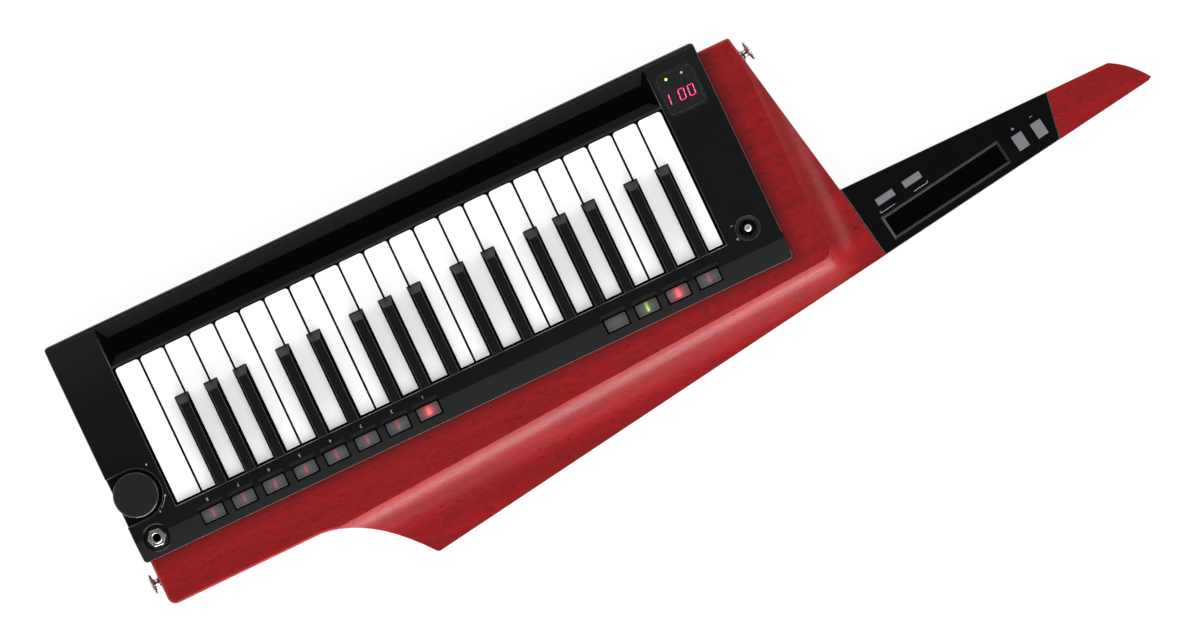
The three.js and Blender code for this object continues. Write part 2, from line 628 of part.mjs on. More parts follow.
function makeTopPanel() {
  const outer = alongX(panelSection(0, PANEL_TOP - SKIRT_DEPTH), PANEL_LEFT, PANEL_RIGHT)
    .intersect(raised(panelPlan(), 0, FAR));
  const inner = alongX(panelSection(PANEL_WALL, 0), PANEL_LEFT + PANEL_WALL,
    PANEL_RIGHT - PANEL_WALL);
  const overWood = block([PANEL_LEFT - 1, PANEL_FRONT + PANEL_WALL, 0],
    [PANEL_RIGHT - PANEL_WALL, REAR_BAND + 1, PANEL_SEAT]);
  const ribbonBeam = block([-PANEL_WALL, PANEL_FRONT + PANEL_WALL / 2,
    TROUGH_BACK], [SLOT_WIDTH + PANEL_WALL, -SLOT_LENGTH, PANEL_CEILING]);
  const leverBoss = disc(LEVER_CENTRE, LEVER_BOSS_RADIUS,
    PANEL_TOP - LEVER_DISH_DEPTH - PANEL_WALL, PANEL_CEILING + 0.1);
  const jackBoss = disc([CONTROL_X, JACK_CENTRE_Y], JACK_RECESS_RADIUS + PANEL_WALL,
    JACK_FLOOR_Z - PANEL_WALL, PANEL_TOP - PANEL_WALL);
  const pocketBoss = pocket(POCKET_RADIUS + PANEL_WALL, POCKET_FLOOR - PANEL_WALL,
    PANEL_CEILING + 0.1).intersect(raised(panelPlan(), 0, FAR));
  const shell = joined(cut(outer, inner, overWood), ribbonBeam, leverBoss,
    jackBoss.intersect(outer), pocketBoss);
  const slot = block([0, -SLOT_LENGTH, 0], [SLOT_WIDTH, 0, FAR]);
  const { mode, program } = buttonCentres();
  const holes = [...mode, ...program].map(buttonHole);
  const windowLeft = -WINDOW_RIGHT - WINDOW_SIZE[0];
  const windowFront = PANEL_FRONT + WINDOW_FRONT;
  const window = raised(roundedShape(windowLeft, windowFront, -WINDOW_RIGHT,
    windowFront + WINDOW_SIZE[1], WINDOW_CORNER), PANEL_TOP - WINDOW_DEPTH, FAR);
  const jackRecess = disc([CONTROL_X, JACK_CENTRE_Y], JACK_RECESS_RADIUS, JACK_FLOOR_Z, FAR);
  const jackHole = disc([CONTROL_X, JACK_CENTRE_Y], JACK_BUSH + RUN_GAP, 0, FAR);
  const stemHole = disc([CONTROL_X, KNOB_CENTRE_Y], STEM_RADIUS + RUN_GAP, 0, FAR, 24);
  return cut(shell, slot, troughCutter(), ...holes, window, leverDish(), leverSlot(),
    jackRecess, jackHole, pocket(POCKET_RADIUS, POCKET_FLOOR, FAR), stemHole);
}

// Panel buttons, each a cap on a flange that keeps it under the panel

function makeButton(x) {
  const [width, depth] = BUTTON_SIZE;
  const top = PANEL_TOP;
  const bottom = top - BUTTON_CAP_DEPTH - BUTTON_FLANGE_THICK;
  const half = width / 2;
  const flange = half + BUTTON_FLANGE;
  return alongY([[x - flange, bottom], [x + flange, bottom], [x + flange, top - BUTTON_CAP_DEPTH],
    [x + half, top - BUTTON_CAP_DEPTH], [x + half, top], [x - half, top],
    [x - half, top - BUTTON_CAP_DEPTH], [x - flange, top - BUTTON_CAP_DEPTH]],
  BUTTON_CENTRE_Y - depth / 2, BUTTON_CENTRE_Y + depth / 2);
}

// Lever switch, volume knob and headphone jack

function leverPivot() {
  return PANEL_TOP - LEVER_PIVOT_DEPTH;
}

function makeLever() {
  const pivot = leverPivot();
  const neckStart = pivot + Math.sqrt(LEVER_BALL ** 2 - LEVER_NECK_RADIUS ** 2);
  const top = PANEL_TOP + LEVER_RISE;
  const profile = [[0, pivot - LEVER_BALL]];
  for (let i = 1; i < 6; i += 1) {
    const angle = -Math.PI / 2 + (i * Math.PI) / 7;
    profile.push([LEVER_BALL * Math.cos(angle), pivot + LEVER_BALL * Math.sin(angle)]);
  }
  profile.push([LEVER_NECK_RADIUS, neckStart], [LEVER_TIP_RADIUS * 0.8, top - 4],
    [LEVER_TIP_RADIUS, top - 2], [LEVER_TIP_RADIUS * 0.86, top - 0.7],
    [LEVER_TIP_RADIUS * 0.5, top], [0, top]);
  return turned(profile, LEVER_CENTRE, 20);
}

function makeKnob() {
  const bottom = POCKET_FLOOR + RUN_GAP;
  const top = bottom + KNOB_HEIGHT;
  const stemEnd = potTop() + SEAT_GAP;
  return turned([[0, stemEnd], [STEM_RADIUS, stemEnd], [STEM_RADIUS, bottom],
    [KNOB_RADIUS - 0.4, bottom], [KNOB_RADIUS, bottom + 0.6], [KNOB_RADIUS, top - KNOB_EDGE],
    [KNOB_RADIUS - KNOB_EDGE, top], [0, top]], [CONTROL_X, KNOB_CENTRE_Y], FINE_ROUND);
}

function makeJack() {
  const nutBottom = JACK_FLOOR_Z + SEAT_GAP;
  const nutTop = nutBottom + JACK_NUT_HEIGHT;
  const top = nutTop + 0.6;
  const bottom = top - JACK_DEPTH;
  const shoulder = JACK_FLOOR_Z - PANEL_WALL - SEAT_GAP;
  const centre = [CONTROL_X, JACK_CENTRE_Y];
  const barrel = turned([[0, bottom], [JACK_BARREL, bottom], [JACK_BARREL, shoulder],
    [JACK_BUSH, shoulder], [JACK_BUSH, top], [JACK_BORE, top], [JACK_BORE, bottom + JACK_FLOOR],
    [0, bottom + JACK_FLOOR]], centre, 32);
  const nutRadius = JACK_NUT_ACROSS / 2 / Math.cos(Math.PI / 6);
  const nut = disc(centre, nutRadius, nutBottom, nutTop, 6)
    .subtract(disc(centre, (JACK_BORE + JACK_BUSH) / 2, 0, FAR, 32));
  return joined(barrel, nut);
}

// Keybed chassis: a folded tray with the key stop, the hinge rail and the switch shelf

function railTop() {
  return TAIL_BOTTOM - SEAT_GAP;
}

function shelfTop() {
  return PANEL_TOP - BUTTON_CAP_DEPTH - BUTTON_FLANGE_THICK - 1.2;
}

function potTop() {
  return POCKET_FLOOR - PANEL_WALL - 2 * SEAT_GAP;
}

function makeChassis() {
  const floor = BACK_WALL + SEAT_GAP;
  const base = CHASSIS_BASE;
  const baseTop = base + CHASSIS_SHEET;
  const legRear = -CHASSIS_FRONT_LEG + CHASSIS_SHEET;
  const [stopNear, stopFar, stopTop] = STOP_RAIL;
  const railFront = HINGE_SETBACK - CHASSIS_SHEET / 2;
  const railRear = HINGE_SETBACK + CHASSIS_SHEET / 2;
  const bridge = railTop() - 2 * CHASSIS_SHEET;
  const riserRear = SHELF_FRONT + CHASSIS_SHEET;
  const top = shelfTop();
  const section = [[-CHASSIS_FRONT_LEG, floor], [legRear, floor], [legRear, base],
    [railFront, base], [railFront, floor], [railRear, floor], [railRear, bridge],
    [riserRear, bridge], [riserRear, top - SHELF_THICK], [SHELF_DEPTH, top - SHELF_THICK],
    [SHELF_DEPTH, top], [SHELF_FRONT, top], [SHELF_FRONT, bridge + CHASSIS_SHEET],
    [railRear, bridge + CHASSIS_SHEET], [railRear, railTop()], [railFront, railTop()],
    [railFront, baseTop], [-stopNear, baseTop], [-stopNear, stopTop], [-stopFar, stopTop],
    [-stopFar, baseTop], [-CHASSIS_FRONT_LEG, baseTop]];
  const tray = alongX(section, CHASSIS_END_GAP, SLOT_WIDTH - CHASSIS_END_GAP);
  const [leverX, leverY] = LEVER_CENTRE;
  const leverSeat = leverPivot() - LEVER_BALL - SEAT_GAP;
  const leverShelf = block([leverX - LEVER_BOSS_RADIUS, leverY - LEVER_BOSS_RADIUS,
    leverSeat - SHELF_THICK], [2 * CHASSIS_END_GAP, riserRear, leverSeat]);
  const controlRight = CONTROL_X + POT_RADIUS - 1;
  const controlShelf = block([SLOT_WIDTH - 2 * CHASSIS_END_GAP, KNOB_CENTRE_Y - POT_RADIUS, bridge],
    [controlRight, SHELF_DEPTH, bridge + SHELF_THICK]);
  const pot = disc([CONTROL_X, KNOB_CENTRE_Y], POT_RADIUS - 1, bridge, potTop(), 24);
  const jackClear = disc([CONTROL_X, JACK_CENTRE_Y], JACK_BARREL + SEAT_GAP, 0, FAR, 32);
  return cut(joined(tray, leverShelf, controlShelf, pot), jackClear);
}

function makeRearCover() {
  const [length, width] = COVER_SIZE;
  const middleX = SLOT_WIDTH / 2;
  return raised(roundedShape(middleX - length / 2, COVER_CENTRE_Y - width / 2,
    middleX + length / 2, COVER_CENTRE_Y + width / 2, COVER_CORNER),
  COVER_INSET, COVER_INSET + COVER_THICK);
}

// Neck panel and the one-piece keypad under it

// The pads and the short ribbon lie along the rear edge. Each has its centre so far back from
// the heel and at a share of the neck's width there.
function alongNeck(geometry, { back, share }) {
  const x = HEEL_X - back;
  geometry.rotateZ(REAR_ANGLE);
  geometry.translate(x, NECK_FRONT + share * (rearEdgeY(x) - NECK_FRONT), 0);
  return solid(geometry);
}

function padBlocks({ pitch, size, ...place }, grow, z0, z1) {
  return [-0.5, 0.5].map((step) => {
    const geometry = new THREE.BoxGeometry(size[0] + 2 * grow, size[1] + 2 * grow, z1 - z0);
    geometry.translate(step * pitch, 0, (z0 + z1) / 2);
    return alongNeck(geometry, place);
  });
}

function makeNeckPanel() {
  const bottom = NECK_POCKET + SEAT_GAP;
  const ceiling = NECK_TOP - NECK_PANEL_TOP_WALL;
  const plate = raised(neckPanelOutline(SEAT_GAP, 0), bottom, NECK_TOP);
  const hollow = raised(neckPanelOutline(SEAT_GAP, PANEL_WALL), 0, ceiling);
  const [length, width] = NECK_RIBBON_SIZE;
  const ribbon = new THREE.BoxGeometry(length, width, 2 * NECK_RIBBON_DEPTH);
  ribbon.translate(0, 0, NECK_TOP);
  return cut(plate, hollow, alongNeck(ribbon, NECK_RIBBON_PLACE),
    ...padBlocks(OCTAVE_PADS, RUN_GAP, 0, FAR), ...padBlocks(FUNCTION_PADS, RUN_GAP, 0, FAR));
}

function makeNeckKeypad() {
  const bottom = NECK_POCKET + SEAT_GAP;
  const top = NECK_TOP + PAD_RISE;
  const web = raised(neckPanelOutline(SEAT_GAP, PANEL_WALL + RUN_GAP), bottom,
    bottom + KEYPAD_WEB);
  return joined(web, ...padBlocks(OCTAVE_PADS, 0, bottom, top),
    ...padBlocks(FUNCTION_PADS, 0, bottom, top));
}

// Keys

function whiteLeft(index) {
  return KEY_SIDE_GAP + index * KEY_PITCH;
}

// The middle of the black key that follows a white key.
function blackCentre(index) {
  const name = WHITE_NAMES[index % WHITE_NAMES.length];
  return whiteLeft(index + 1) + SHARP_OFFSETS[name];
}

function hasSharp(index) {
  const name = WHITE_NAMES[index % WHITE_NAMES.length];
  return index >= 0 && index < WHITE_COUNT - 1 && name in SHARP_OFFSETS;
}

function keyTail(x0, x1, from) {
  return block([x0 + TAIL_INSET, from - TAIL_OVERLAP, TAIL_BOTTOM],
    [x1 - TAIL_INSET, HINGE_SETBACK + TAIL_PAST_HINGE, TAIL_TOP]);
}

function makeWhiteKey(index) {
  const x0 = whiteLeft(index) + KEY_GAP / 2;
  const x1 = whiteLeft(index + 1) - KEY_GAP / 2;
  const clear = BLACK_WIDTH / 2 + RUN_GAP;
  const rear0 = hasSharp(index - 1) ? blackCentre(index - 1) + clear : x0;
  const rear1 = hasSharp(index) ? blackCentre(index) - clear : x1;
  const shoulder = BLACK_FRONT_Y - BLACK_NOTCH_GAP;
  const shape = new THREE.Shape();
  shape.moveTo(x0 + WHITE_CORNER, WHITE_FRONT_Y);
  shape.lineTo(x1 - WHITE_CORNER, WHITE_FRONT_Y);
  shape.absarc(x1 - WHITE_CORNER, WHITE_FRONT_Y + WHITE_CORNER, WHITE_CORNER, -Math.PI / 2, 0);
  shape.lineTo(x1, shoulder);
  shape.lineTo(rear1, shoulder);
  shape.lineTo(rear1, -WHITE_REAR_GAP);
  shape.lineTo(rear0, -WHITE_REAR_GAP);
  shape.lineTo(rear0, shoulder);
  shape.lineTo(x0, shoulder);
  shape.lineTo(x0, WHITE_FRONT_Y + WHITE_CORNER);
  shape.absarc(x0 + WHITE_CORNER, WHITE_FRONT_Y + WHITE_CORNER, WHITE_CORNER,
    Math.PI, 1.5 * Math.PI);
  return joined(raised(shape, WHITE_BOTTOM, WHITE_TOP), keyTail(rear0, rear1, -WHITE_REAR_GAP));
}

function makeBlackKey(index) {
  const x = blackCentre(index);
  const half = BLACK_WIDTH / 2;
  const topHalf = BLACK_TOP_WIDTH / 2;
  const shoulder = WHITE_TOP + BLACK_SHOULDER;
  const rear = -BLACK_REAR_GAP;
  const across = alongY([[x - half, WHITE_BOTTOM], [x + half, WHITE_BOTTOM], [x + half, shoulder],
    [x + topHalf, BLACK_TOP], [x - topHalf, BLACK_TOP], [x - half, shoulder]], BLACK_FRONT_Y, rear);
  const side = alongX([[BLACK_FRONT_Y, 0], [rear, 0], [rear, FAR], [BLACK_FRONT_Y + BLACK_SLOPE, FAR],
    [BLACK_FRONT_Y + BLACK_SLOPE, BLACK_TOP], [BLACK_FRONT_Y, shoulder]], x - half - 1, x + half + 1);
  return joined(across.intersect(side), keyTail(x - half, x + half, rear));
}

// The whole instrument, one mesh for each piece

const instrument = new THREE.Group();

function add(name, body, color, roughness, metalness = 0) {
  const material = new THREE.MeshStandardMaterial({ color, roughness, metalness });
  const mesh = new THREE.Mesh(geometryOf(body), material);
  mesh.name = name;
  instrument.add(mesh);
}

add('wood_body', makeWoodBody(), 0x9a1a20, 0.45);
add('top_panel', makeTopPanel(), 0x161616, 0.5);
add('neck_panel', makeNeckPanel(), 0x161616, 0.5);
add('neck_keypad', makeNeckKeypad(), 0x868b94, 0.6);
add('keybed_chassis', makeChassis(), 0x1c1c1e, 0.6);
add('rear_cover', makeRearCover(), 0x18181a, 0.6);
add('headphone_jack', makeJack(), 0xb9b2a4, 0.25, 1);
add('strap_pin_tail', makeStrapPin(tailPinPlace()), 0xd8d8da, 0.15, 1);
add('strap_pin_horn', makeStrapPin(hornPinPlace()), 0xd8d8da, 0.15, 1);
add('volume_knob', makeKnob(), 0x1a1a1c, 0.55);
add('lever_switch', makeLever(), 0xd8d8da, 0.2, 1);

const buttons = buttonCentres();
buttons.mode.forEach((x, i) => add(`mode_button_${i + 1}`, makeButton(x), 0x55555a, 0.35));
buttons.program.forEach((x, i) => add(`program_button_${i + 1}`, makeButton(x), 0x55555a, 0.35));

for (let index = 0; index < WHITE_COUNT; index += 1) {
  const name = WHITE_NAMES[index % WHITE_NAMES.length];
  const octave = Math.floor(index / WHITE_NAMES.length) + 1;
  add(`white_key_${name}${octave}`, makeWhiteKey(index), 0xf6f6f4, 0.3);
  if (hasSharp(index)) {
    add(`black_key_${name}_sharp${octave}`, makeBlackKey(index), 0x121212, 0.35);
  }
}

// The origin is under the middle of the whole, on the surface that it lies on.
const reach = new THREE.Box3().setFromObject(instrument);
const middle = reach.getCenter(new THREE.Vector3());
instrument.position.set(-middle.x, -middle.y, -reach.min.z);

export default instrument;
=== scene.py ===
"""A keytar lying on its back: red stained body, black moulded panel, three octaves of keys."""

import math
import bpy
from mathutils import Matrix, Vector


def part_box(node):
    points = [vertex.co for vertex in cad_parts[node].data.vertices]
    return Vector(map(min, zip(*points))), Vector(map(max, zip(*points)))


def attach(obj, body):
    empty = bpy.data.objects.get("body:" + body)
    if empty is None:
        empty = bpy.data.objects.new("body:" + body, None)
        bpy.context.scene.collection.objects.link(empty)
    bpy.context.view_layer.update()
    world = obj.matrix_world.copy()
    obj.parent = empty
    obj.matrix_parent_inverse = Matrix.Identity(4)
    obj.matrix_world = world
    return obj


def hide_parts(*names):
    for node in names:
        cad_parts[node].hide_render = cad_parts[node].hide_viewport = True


bl_info = {
    "name": "Keytar Maker",
    "version": (1, 0, 0),
    "blender": (4, 5, 0),
    "location": "3D View > Sidebar > Keytar",
    "description": "Models and finishes the pieces of a keytar around its packed solids",
    "category": "Object",
}

import bmesh
import bpy
from bpy.props import FloatProperty, FloatVectorProperty, IntProperty, PointerProperty
from mathutils import Matrix, Vector

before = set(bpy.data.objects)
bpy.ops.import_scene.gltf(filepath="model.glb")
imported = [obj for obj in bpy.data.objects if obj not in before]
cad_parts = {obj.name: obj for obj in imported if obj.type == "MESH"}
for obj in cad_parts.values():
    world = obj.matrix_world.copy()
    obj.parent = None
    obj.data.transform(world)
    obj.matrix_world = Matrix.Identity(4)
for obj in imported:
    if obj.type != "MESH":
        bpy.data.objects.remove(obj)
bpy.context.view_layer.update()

MM = 0.001
MAIN_BODY = "body"
WHITE_LETTERS = "cdefgab"
SHARP_LETTERS = "cdfga"
OCTAVES = 3
BUTTONS = [f"mode_button_{i}" for i in range(1, 5)] + [f"program_button_{i}" for i in range(1, 9)]


def node_box(node):
    """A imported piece's lowest and highest corners in millimetres."""
    low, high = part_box(node)
    return [value / MM for value in low], [value / MM for value in high]


def place_of(node):
    """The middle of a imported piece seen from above."""
    low, high = node_box(node)
    return [(low[i] + high[i]) / 2 for i in (0, 1)]


PANEL_LOW, PANEL_HIGH = node_box("top_panel")
PANEL_TOP = PANEL_HIGH[2]
NECK_TOP = node_box("neck_panel")[1][2]
BUTTON_LOW, BUTTON_HIGH = node_box("mode_button_1")
BUTTON_CENTRE = place_of("mode_button_1")
KNOB_LOW, KNOB_HIGH = node_box("volume_knob")
KNOB_CENTRE = place_of("volume_knob")
LEVER_LOW, LEVER_HIGH = node_box("lever_switch")
LEVER_CENTRE = place_of("lever_switch")
JACK_LOW, JACK_HIGH = node_box("headphone_jack")
JACK_CENTRE = place_of("headphone_jack")
COVER_LOW, COVER_HIGH = node_box("rear_cover")
SHARP_LOW, SHARP_HIGH = node_box("black_key_c_sharp1")

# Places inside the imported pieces, in millimetres; a pair of corners is one area seen from above
WOOD_TOP = 44
CAVITY = ((-117.5, -121), (412.5, 44.5))
SLOT_LEFT, SLOT_RIGHT, SLOT_REAR = -79.0, 379.2, 16.6
KEY_REAR = SLOT_REAR - 1.9
BUTTON_ROW = ((-100, BUTTON_CENTRE[1] - 6.5), (380, BUTTON_CENTRE[1] + 6.5))
WINDOW = ((-113.3, -120.6), (-82.4, -87.6))
TROUGH = ((SLOT_LEFT - 1, -132.4, PANEL_TOP - 6.2), (SLOT_RIGHT + 1, -97.8, PANEL_TOP - 0.7))
RIBBON_FRONT, RIBBON_REAR = -119.9, -104.9
PANEL_SPLITS = (("x", SLOT_LEFT - 1.6), ("y", -122.2), ("y", -130.6))
PANEL_BENDS = (29.7, -118.9, -129.9)
DISH_RADIUS = 9.5
JACK_POCKET, JACK_WALL, JACK_GAP = 4, 2.5, 0.3
NECK_PLACE, NECK_ANGLE = (-247.7, 50.1), math.radians(8.24)
RECESS_HALF = (50.75, 7.9)
TAIL_PIN = (415.7, 62.9, 22)
HORN_PIN, HORN_ANGLE = (-150.53, -108.0, 22), math.atan2(0.1953, 0.9807)


# Sizes and colours that a user may change

def linear(text):
    """A colour written as on screen, such as 9a1a20, in the numbers that Blender mixes."""
    parts = [int(text[i:i + 2], 16) / 255 for i in (0, 2, 4)]
    return tuple(p / 12.92 if p <= 0.04045 else ((p + 0.055) / 1.055) ** 2.4 for p in parts)


def length(name, text, value):
    return FloatProperty(name=name, description=text, default=value * MM, unit="LENGTH",
                         precision=4)


def colour(name, text, code):
    return FloatVectorProperty(name=name, description=text, default=linear(code), subtype="COLOR",
                               min=0, max=1)


class KeytarSizes(bpy.types.PropertyGroup):
    """Roundings and small sizes of the finished pieces."""

    wood_edge: length("Wood edge", "Rounding of the ridge and of the body's upper edges", 0.7)
    panel_edge: length("Panel edge", "Rounding of the panel's upper edges", 0.5)
    key_edge: length("Key edge", "Rounding of the white keys' edges", 0.35)
    sharp_edge: length("Black key edge", "Rounding of the black keys' edges", 0.45)
    cap_edge: length("Button edge", "Slanted rim of a button cap", 0.85)
    pad_edge: length("Pad edge", "Rounding of the neck pads", 0.5)
    scoop: length("Finger scoop", "Depth of the scoop in front of a button", 0.8)
    groove: length("Window groove", "Gap round the display window", 0.8)
    digit_height: length("Digit height", "Height of the display's digits", 9.3)
    mark_height: length("Number height", "Height of the printed numbers", 2.6)
    knob_ridges: IntProperty(name="Knob ridges", description="Grooves round the volume knob",
                             default=56, min=12, max=120)


class KeytarColours(bpy.types.PropertyGroup):
    """Colours of the finishes."""

    wood: colour("Stain", "Red stain on the open wood", "970a0d")
    wood_deep: colour("Deep stain", "Stain in the darker bands of the grain", "7c080b")
    pore: colour("Pore", "Dark pores of the grain", "38060a")
    panel: colour("Panel", "Black moulded plastic", "0e0e0e")
    film: colour("Ribbon film", "Touch strips", "020202")
    pane: colour("Window", "Smoked display window", "1b1b1c")
    white_key: colour("White keys", "Plastic of the white keys", "f9faf9")
    black_key: colour("Black keys", "Plastic of the black keys", "11100f")
    cap: colour("Button caps", "Smoked caps of the panel buttons", "515456")
    pad: colour("Pads", "Silicone of the neck pads", "696d72")
    mark: colour("Print", "Printed marks", "9aa3ab")
    metal: colour("Nickel", "Nut and bush of the headphone jack", "ece6dc")
    chrome: colour("Chrome", "Strap pins", "d0d0d4")
    steel: colour("Lever", "Turned lever of the switch", "e6e6e8")


class KeytarStage(bpy.types.PropertyGroup):
    """Floor, light and camera."""

    floor: colour("Floor", "Pale floor under the instrument", "f4f4f4")
    lamp: FloatProperty(name="Lamp level", description="Radiance of the main soft lamp",
                        default=3.2, min=0)
    camera_height: FloatProperty(name="Camera height", description="Camera above the floor",
                                 default=4.0, unit="LENGTH")
    view_width: FloatProperty(name="View width", description="Width seen at the panel's top",
                              default=0.90304, unit="LENGTH")


def size(name):
    """One of the user's sizes, in millimetres."""
    return getattr(bpy.context.scene.keytar_sizes, name) / MM


def tint(name):
    """One of the user's colours by name, or a colour by its code."""
    if name in KeytarColours.__annotations__:
        return tuple(getattr(bpy.context.scene.keytar_colours, name))
    return linear(name)


# Modelling by hand: one piece open at a time, with only what is meant picked

def shut():
    """Leaves edit mode."""
    bpy.ops.object.mode_set(mode="OBJECT")


def fresh():
    """Object mode with nothing picked."""
    if bpy.context.object and bpy.context.object.mode != "OBJECT":
        shut()
    bpy.ops.object.select_all(action="DESELECT")


def hold(piece):
    """Picks one piece alone."""
    fresh()
    piece.select_set(True)
    bpy.context.view_layer.objects.active = piece


def settle(piece):
    """Puts a piece's place, turn and size into its mesh."""
    hold(piece)
    bpy.ops.object.transform_apply(location=True, rotation=True, scale=True)
    return piece


def newest(name):
    """The piece that the last operator added, under its name."""
    piece = bpy.context.object
    piece.name = name
    piece.data.name = name
    return piece


def block(name, low, high):
    """A block between two corners, in millimetres."""
    fresh()
    bpy.ops.mesh.primitive_cube_add(size=1, location=[(a + b) / 2 * MM for a, b in zip(low, high)])
    piece = newest(name)
    piece.scale = [(b - a) * MM for a, b in zip(low, high)]
    return settle(piece)


def choose(piece, kind, test):
    """Opens a piece with only the faces or edges picked that pass a test."""
    hold(piece)
    bpy.ops.object.mode_set(mode="EDIT")
    bpy.ops.mesh.select_mode(type=kind)
    bpy.ops.mesh.select_all(action="DESELECT")
    mesh = bmesh.from_edit_mesh(piece.data)
    for item in mesh.faces if kind == "FACE" else mesh.edges:
        item.select = bool(test(item))
    mesh.select_flush_mode()
    bmesh.update_edit_mesh(piece.data)


def whole(piece):
    """Opens a piece with all of it picked."""
    choose(piece, "FACE", lambda face: True)


def middle(item):
    """The middle of a face or edge in millimetres."""
    return sum((v.co for v in item.verts), Vector()) / len(item.verts) / MM


def within(place, low, high, slack=0):
    """Says if a place lies between two corners, or over an area if they have no height."""
    return all(a - slack < value < b + slack for value, a, b in zip(place, low, high))


def distance(place, centre):
    """How far a place is from an upright axis."""
    return math.hypot(place.x - centre[0], place.y - centre[1])


def around(centre, radius, degrees):
    """A place on a circle."""
    angle = math.radians(degrees)
    return centre[0] + radius * math.cos(angle), centre[1] + radius * math.sin(angle)


def runs(edge, axis):
    """Says if an edge runs along an axis."""
    along = edge.verts[1].co - edge.verts[0].co
    return abs(along["xyz".index(axis)]) > 0.999 * along.length


def turn_of(edge):
    """The angle between an edge's two faces, and none at an open edge."""
    return edge.calc_face_angle(0) if len(edge.link_faces) == 2 else 0


def split(piece, axis, value):
    """Cuts a line round a piece where an axis has a value, in millimetres."""
    normal = [float(letter == axis) for letter in "xyz"]
    whole(piece)
    bpy.ops.mesh.bisect(plane_co=[n * value * MM for n in normal], plane_no=normal)
    shut()


def extrude(y=0, z=0):
    """Pulls what is picked out by a distance in millimetres."""
    bpy.ops.mesh.extrude_region_move(TRANSFORM_OT_translate={"value": (0, y * MM, z * MM)})


def swell(x, y, centre):
    """Scales what is picked about a point in millimetres."""
    bpy.ops.transform.resize(value=(x, y, 1), center_override=[c * MM for c in centre])


def bevelled(piece, test, width, segments=3, keep_size=False):
    """Rounds the edges that pass a test, width in millimetres."""
    choose(piece, "EDGE", test)
    bpy.ops.mesh.bevel(offset=width * MM, segments=segments, profile=0.5, affect="EDGES",
                       clamp_overlap=keep_size)
    shut()


def corners_rounded(piece, radius, segments=4):
    """Rounds a block's upright corners, radius in millimetres."""
    bevelled(piece, lambda edge: runs(edge, "z") and turn_of(edge) > 1, radius, segments)
    return piece


def add_modifier(piece, kind, **numbers):
    """Adds a modifier with its settings and applies it."""
    hold(piece)
    modifier = piece.modifiers.new(kind.title(), kind)
    for key, value in numbers.items():
        setattr(modifier, key, value)
    bpy.ops.object.modifier_apply(modifier=modifier.name)


def rounded(piece, width, segments=3, angle=30):
    """Rounds every corner sharper than an angle, width in millimetres."""
    add_modifier(piece, "BEVEL", width=width * MM, segments=segments, limit_method="ANGLE",
                 angle_limit=math.radians(angle), use_clamp_overlap=True)


def smooth(piece, angle=40):
    """Smooth shading that keeps real corners and flat faces."""
    hold(piece)
    bpy.ops.object.shade_smooth_by_angle(angle=math.radians(angle), keep_sharp_edges=True)
    add_modifier(piece, "WEIGHTED_NORMAL", keep_sharp=True)


def turned(name, profile, centre, sides):
    """A round piece, raised ring by ring from a disc: profile holds radius and height."""
    fresh()
    radius, height = profile[0]
    bpy.ops.mesh.primitive_circle_add(vertices=sides, radius=radius * MM, fill_type="NGON",
                                      location=[centre[0] * MM, centre[1] * MM, height * MM])
    piece = settle(newest(name))
    whole(piece)
    for next_radius, next_height in profile[1:]:
        extrude(z=next_height - height)
        share = next_radius / radius
        swell(share, share, (centre[0], centre[1], next_height))
        radius, height = next_radius, next_height
    shut()
    outward(piece)
    return piece


def outward(piece):
    """Merges doubled points and turns the faces outwards."""
    whole(piece)
    bpy.ops.mesh.remove_doubles(threshold=1e-6)
    bpy.ops.mesh.normals_make_consistent(inside=False)
    shut()


def copied(node, name):
    """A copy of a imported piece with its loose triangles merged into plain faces."""
    fresh()
    piece = bpy.data.objects.new(name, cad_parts[node].data.copy())
    bpy.context.scene.collection.objects.link(piece)
    piece.data.name = name
    piece.data.materials.clear()
    hold(piece)
    bpy.ops.mesh.customdata_custom_splitnormals_clear()
    whole(piece)
    bpy.ops.mesh.remove_doubles(threshold=2e-6)
    bpy.ops.mesh.dissolve_limited(angle_limit=math.radians(0.4))
    shut()
    return piece


def twin(piece, name, x=0):
    """A copy with its own mesh, moved sideways in millimetres."""
    other = bpy.data.objects.new(name, piece.data.copy())
    other.data.name = name
    other.data.transform(Matrix.Translation(Vector((x, 0, 0)) * MM))
    bpy.context.scene.collection.objects.link(other)
    return other


def laid(piece, place, angle):
    """Turns a mesh about the upright axis and moves it to a place in millimetres."""
    piece.data.transform(Matrix.Translation(Vector((*place, 0)) * MM)
                         @ Matrix.Rotation(angle, 4, "Z"))
    return piece


def turn_about(piece, centre, degrees):
    """Turns a mesh about an upright line through a place in millimetres."""
    place = Vector((*centre, 0)) * MM
    piece.data.transform(Matrix.Translation(place)
                         @ Matrix.Rotation(math.radians(degrees), 4, "Z")
                         @ Matrix.Translation(-place))


def put_together(pieces, name):
    """Joins pieces into one."""
    hold(pieces[0])
    for piece in pieces:
        piece.select_set(True)
    bpy.ops.object.join()
    return newest(name)


def carve(piece, cutter):
    """Takes a cutter out of a piece and deletes it."""
    add_modifier(piece, "BOOLEAN", operation="DIFFERENCE", object=cutter, solver="EXACT")
    bpy.data.objects.remove(cutter)


def dress(piece, finish, body=MAIN_BODY, node=None):
    """Gives a piece its finish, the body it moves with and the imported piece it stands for."""
    if finish:
        piece.data.materials.clear()
        piece.data.materials.append(finish)
    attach(piece, body)
    if node:
        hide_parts(node)


def second_finish(piece, name, test):
    """Gives the faces that pass a test another finish of the table than the rest."""
    piece.data.materials.append(look(name))
    number = len(piece.data.materials) - 1
    for face in piece.data.polygons:
        if test(face.center / MM, face.normal):
            face.material_index = number


# Finishes

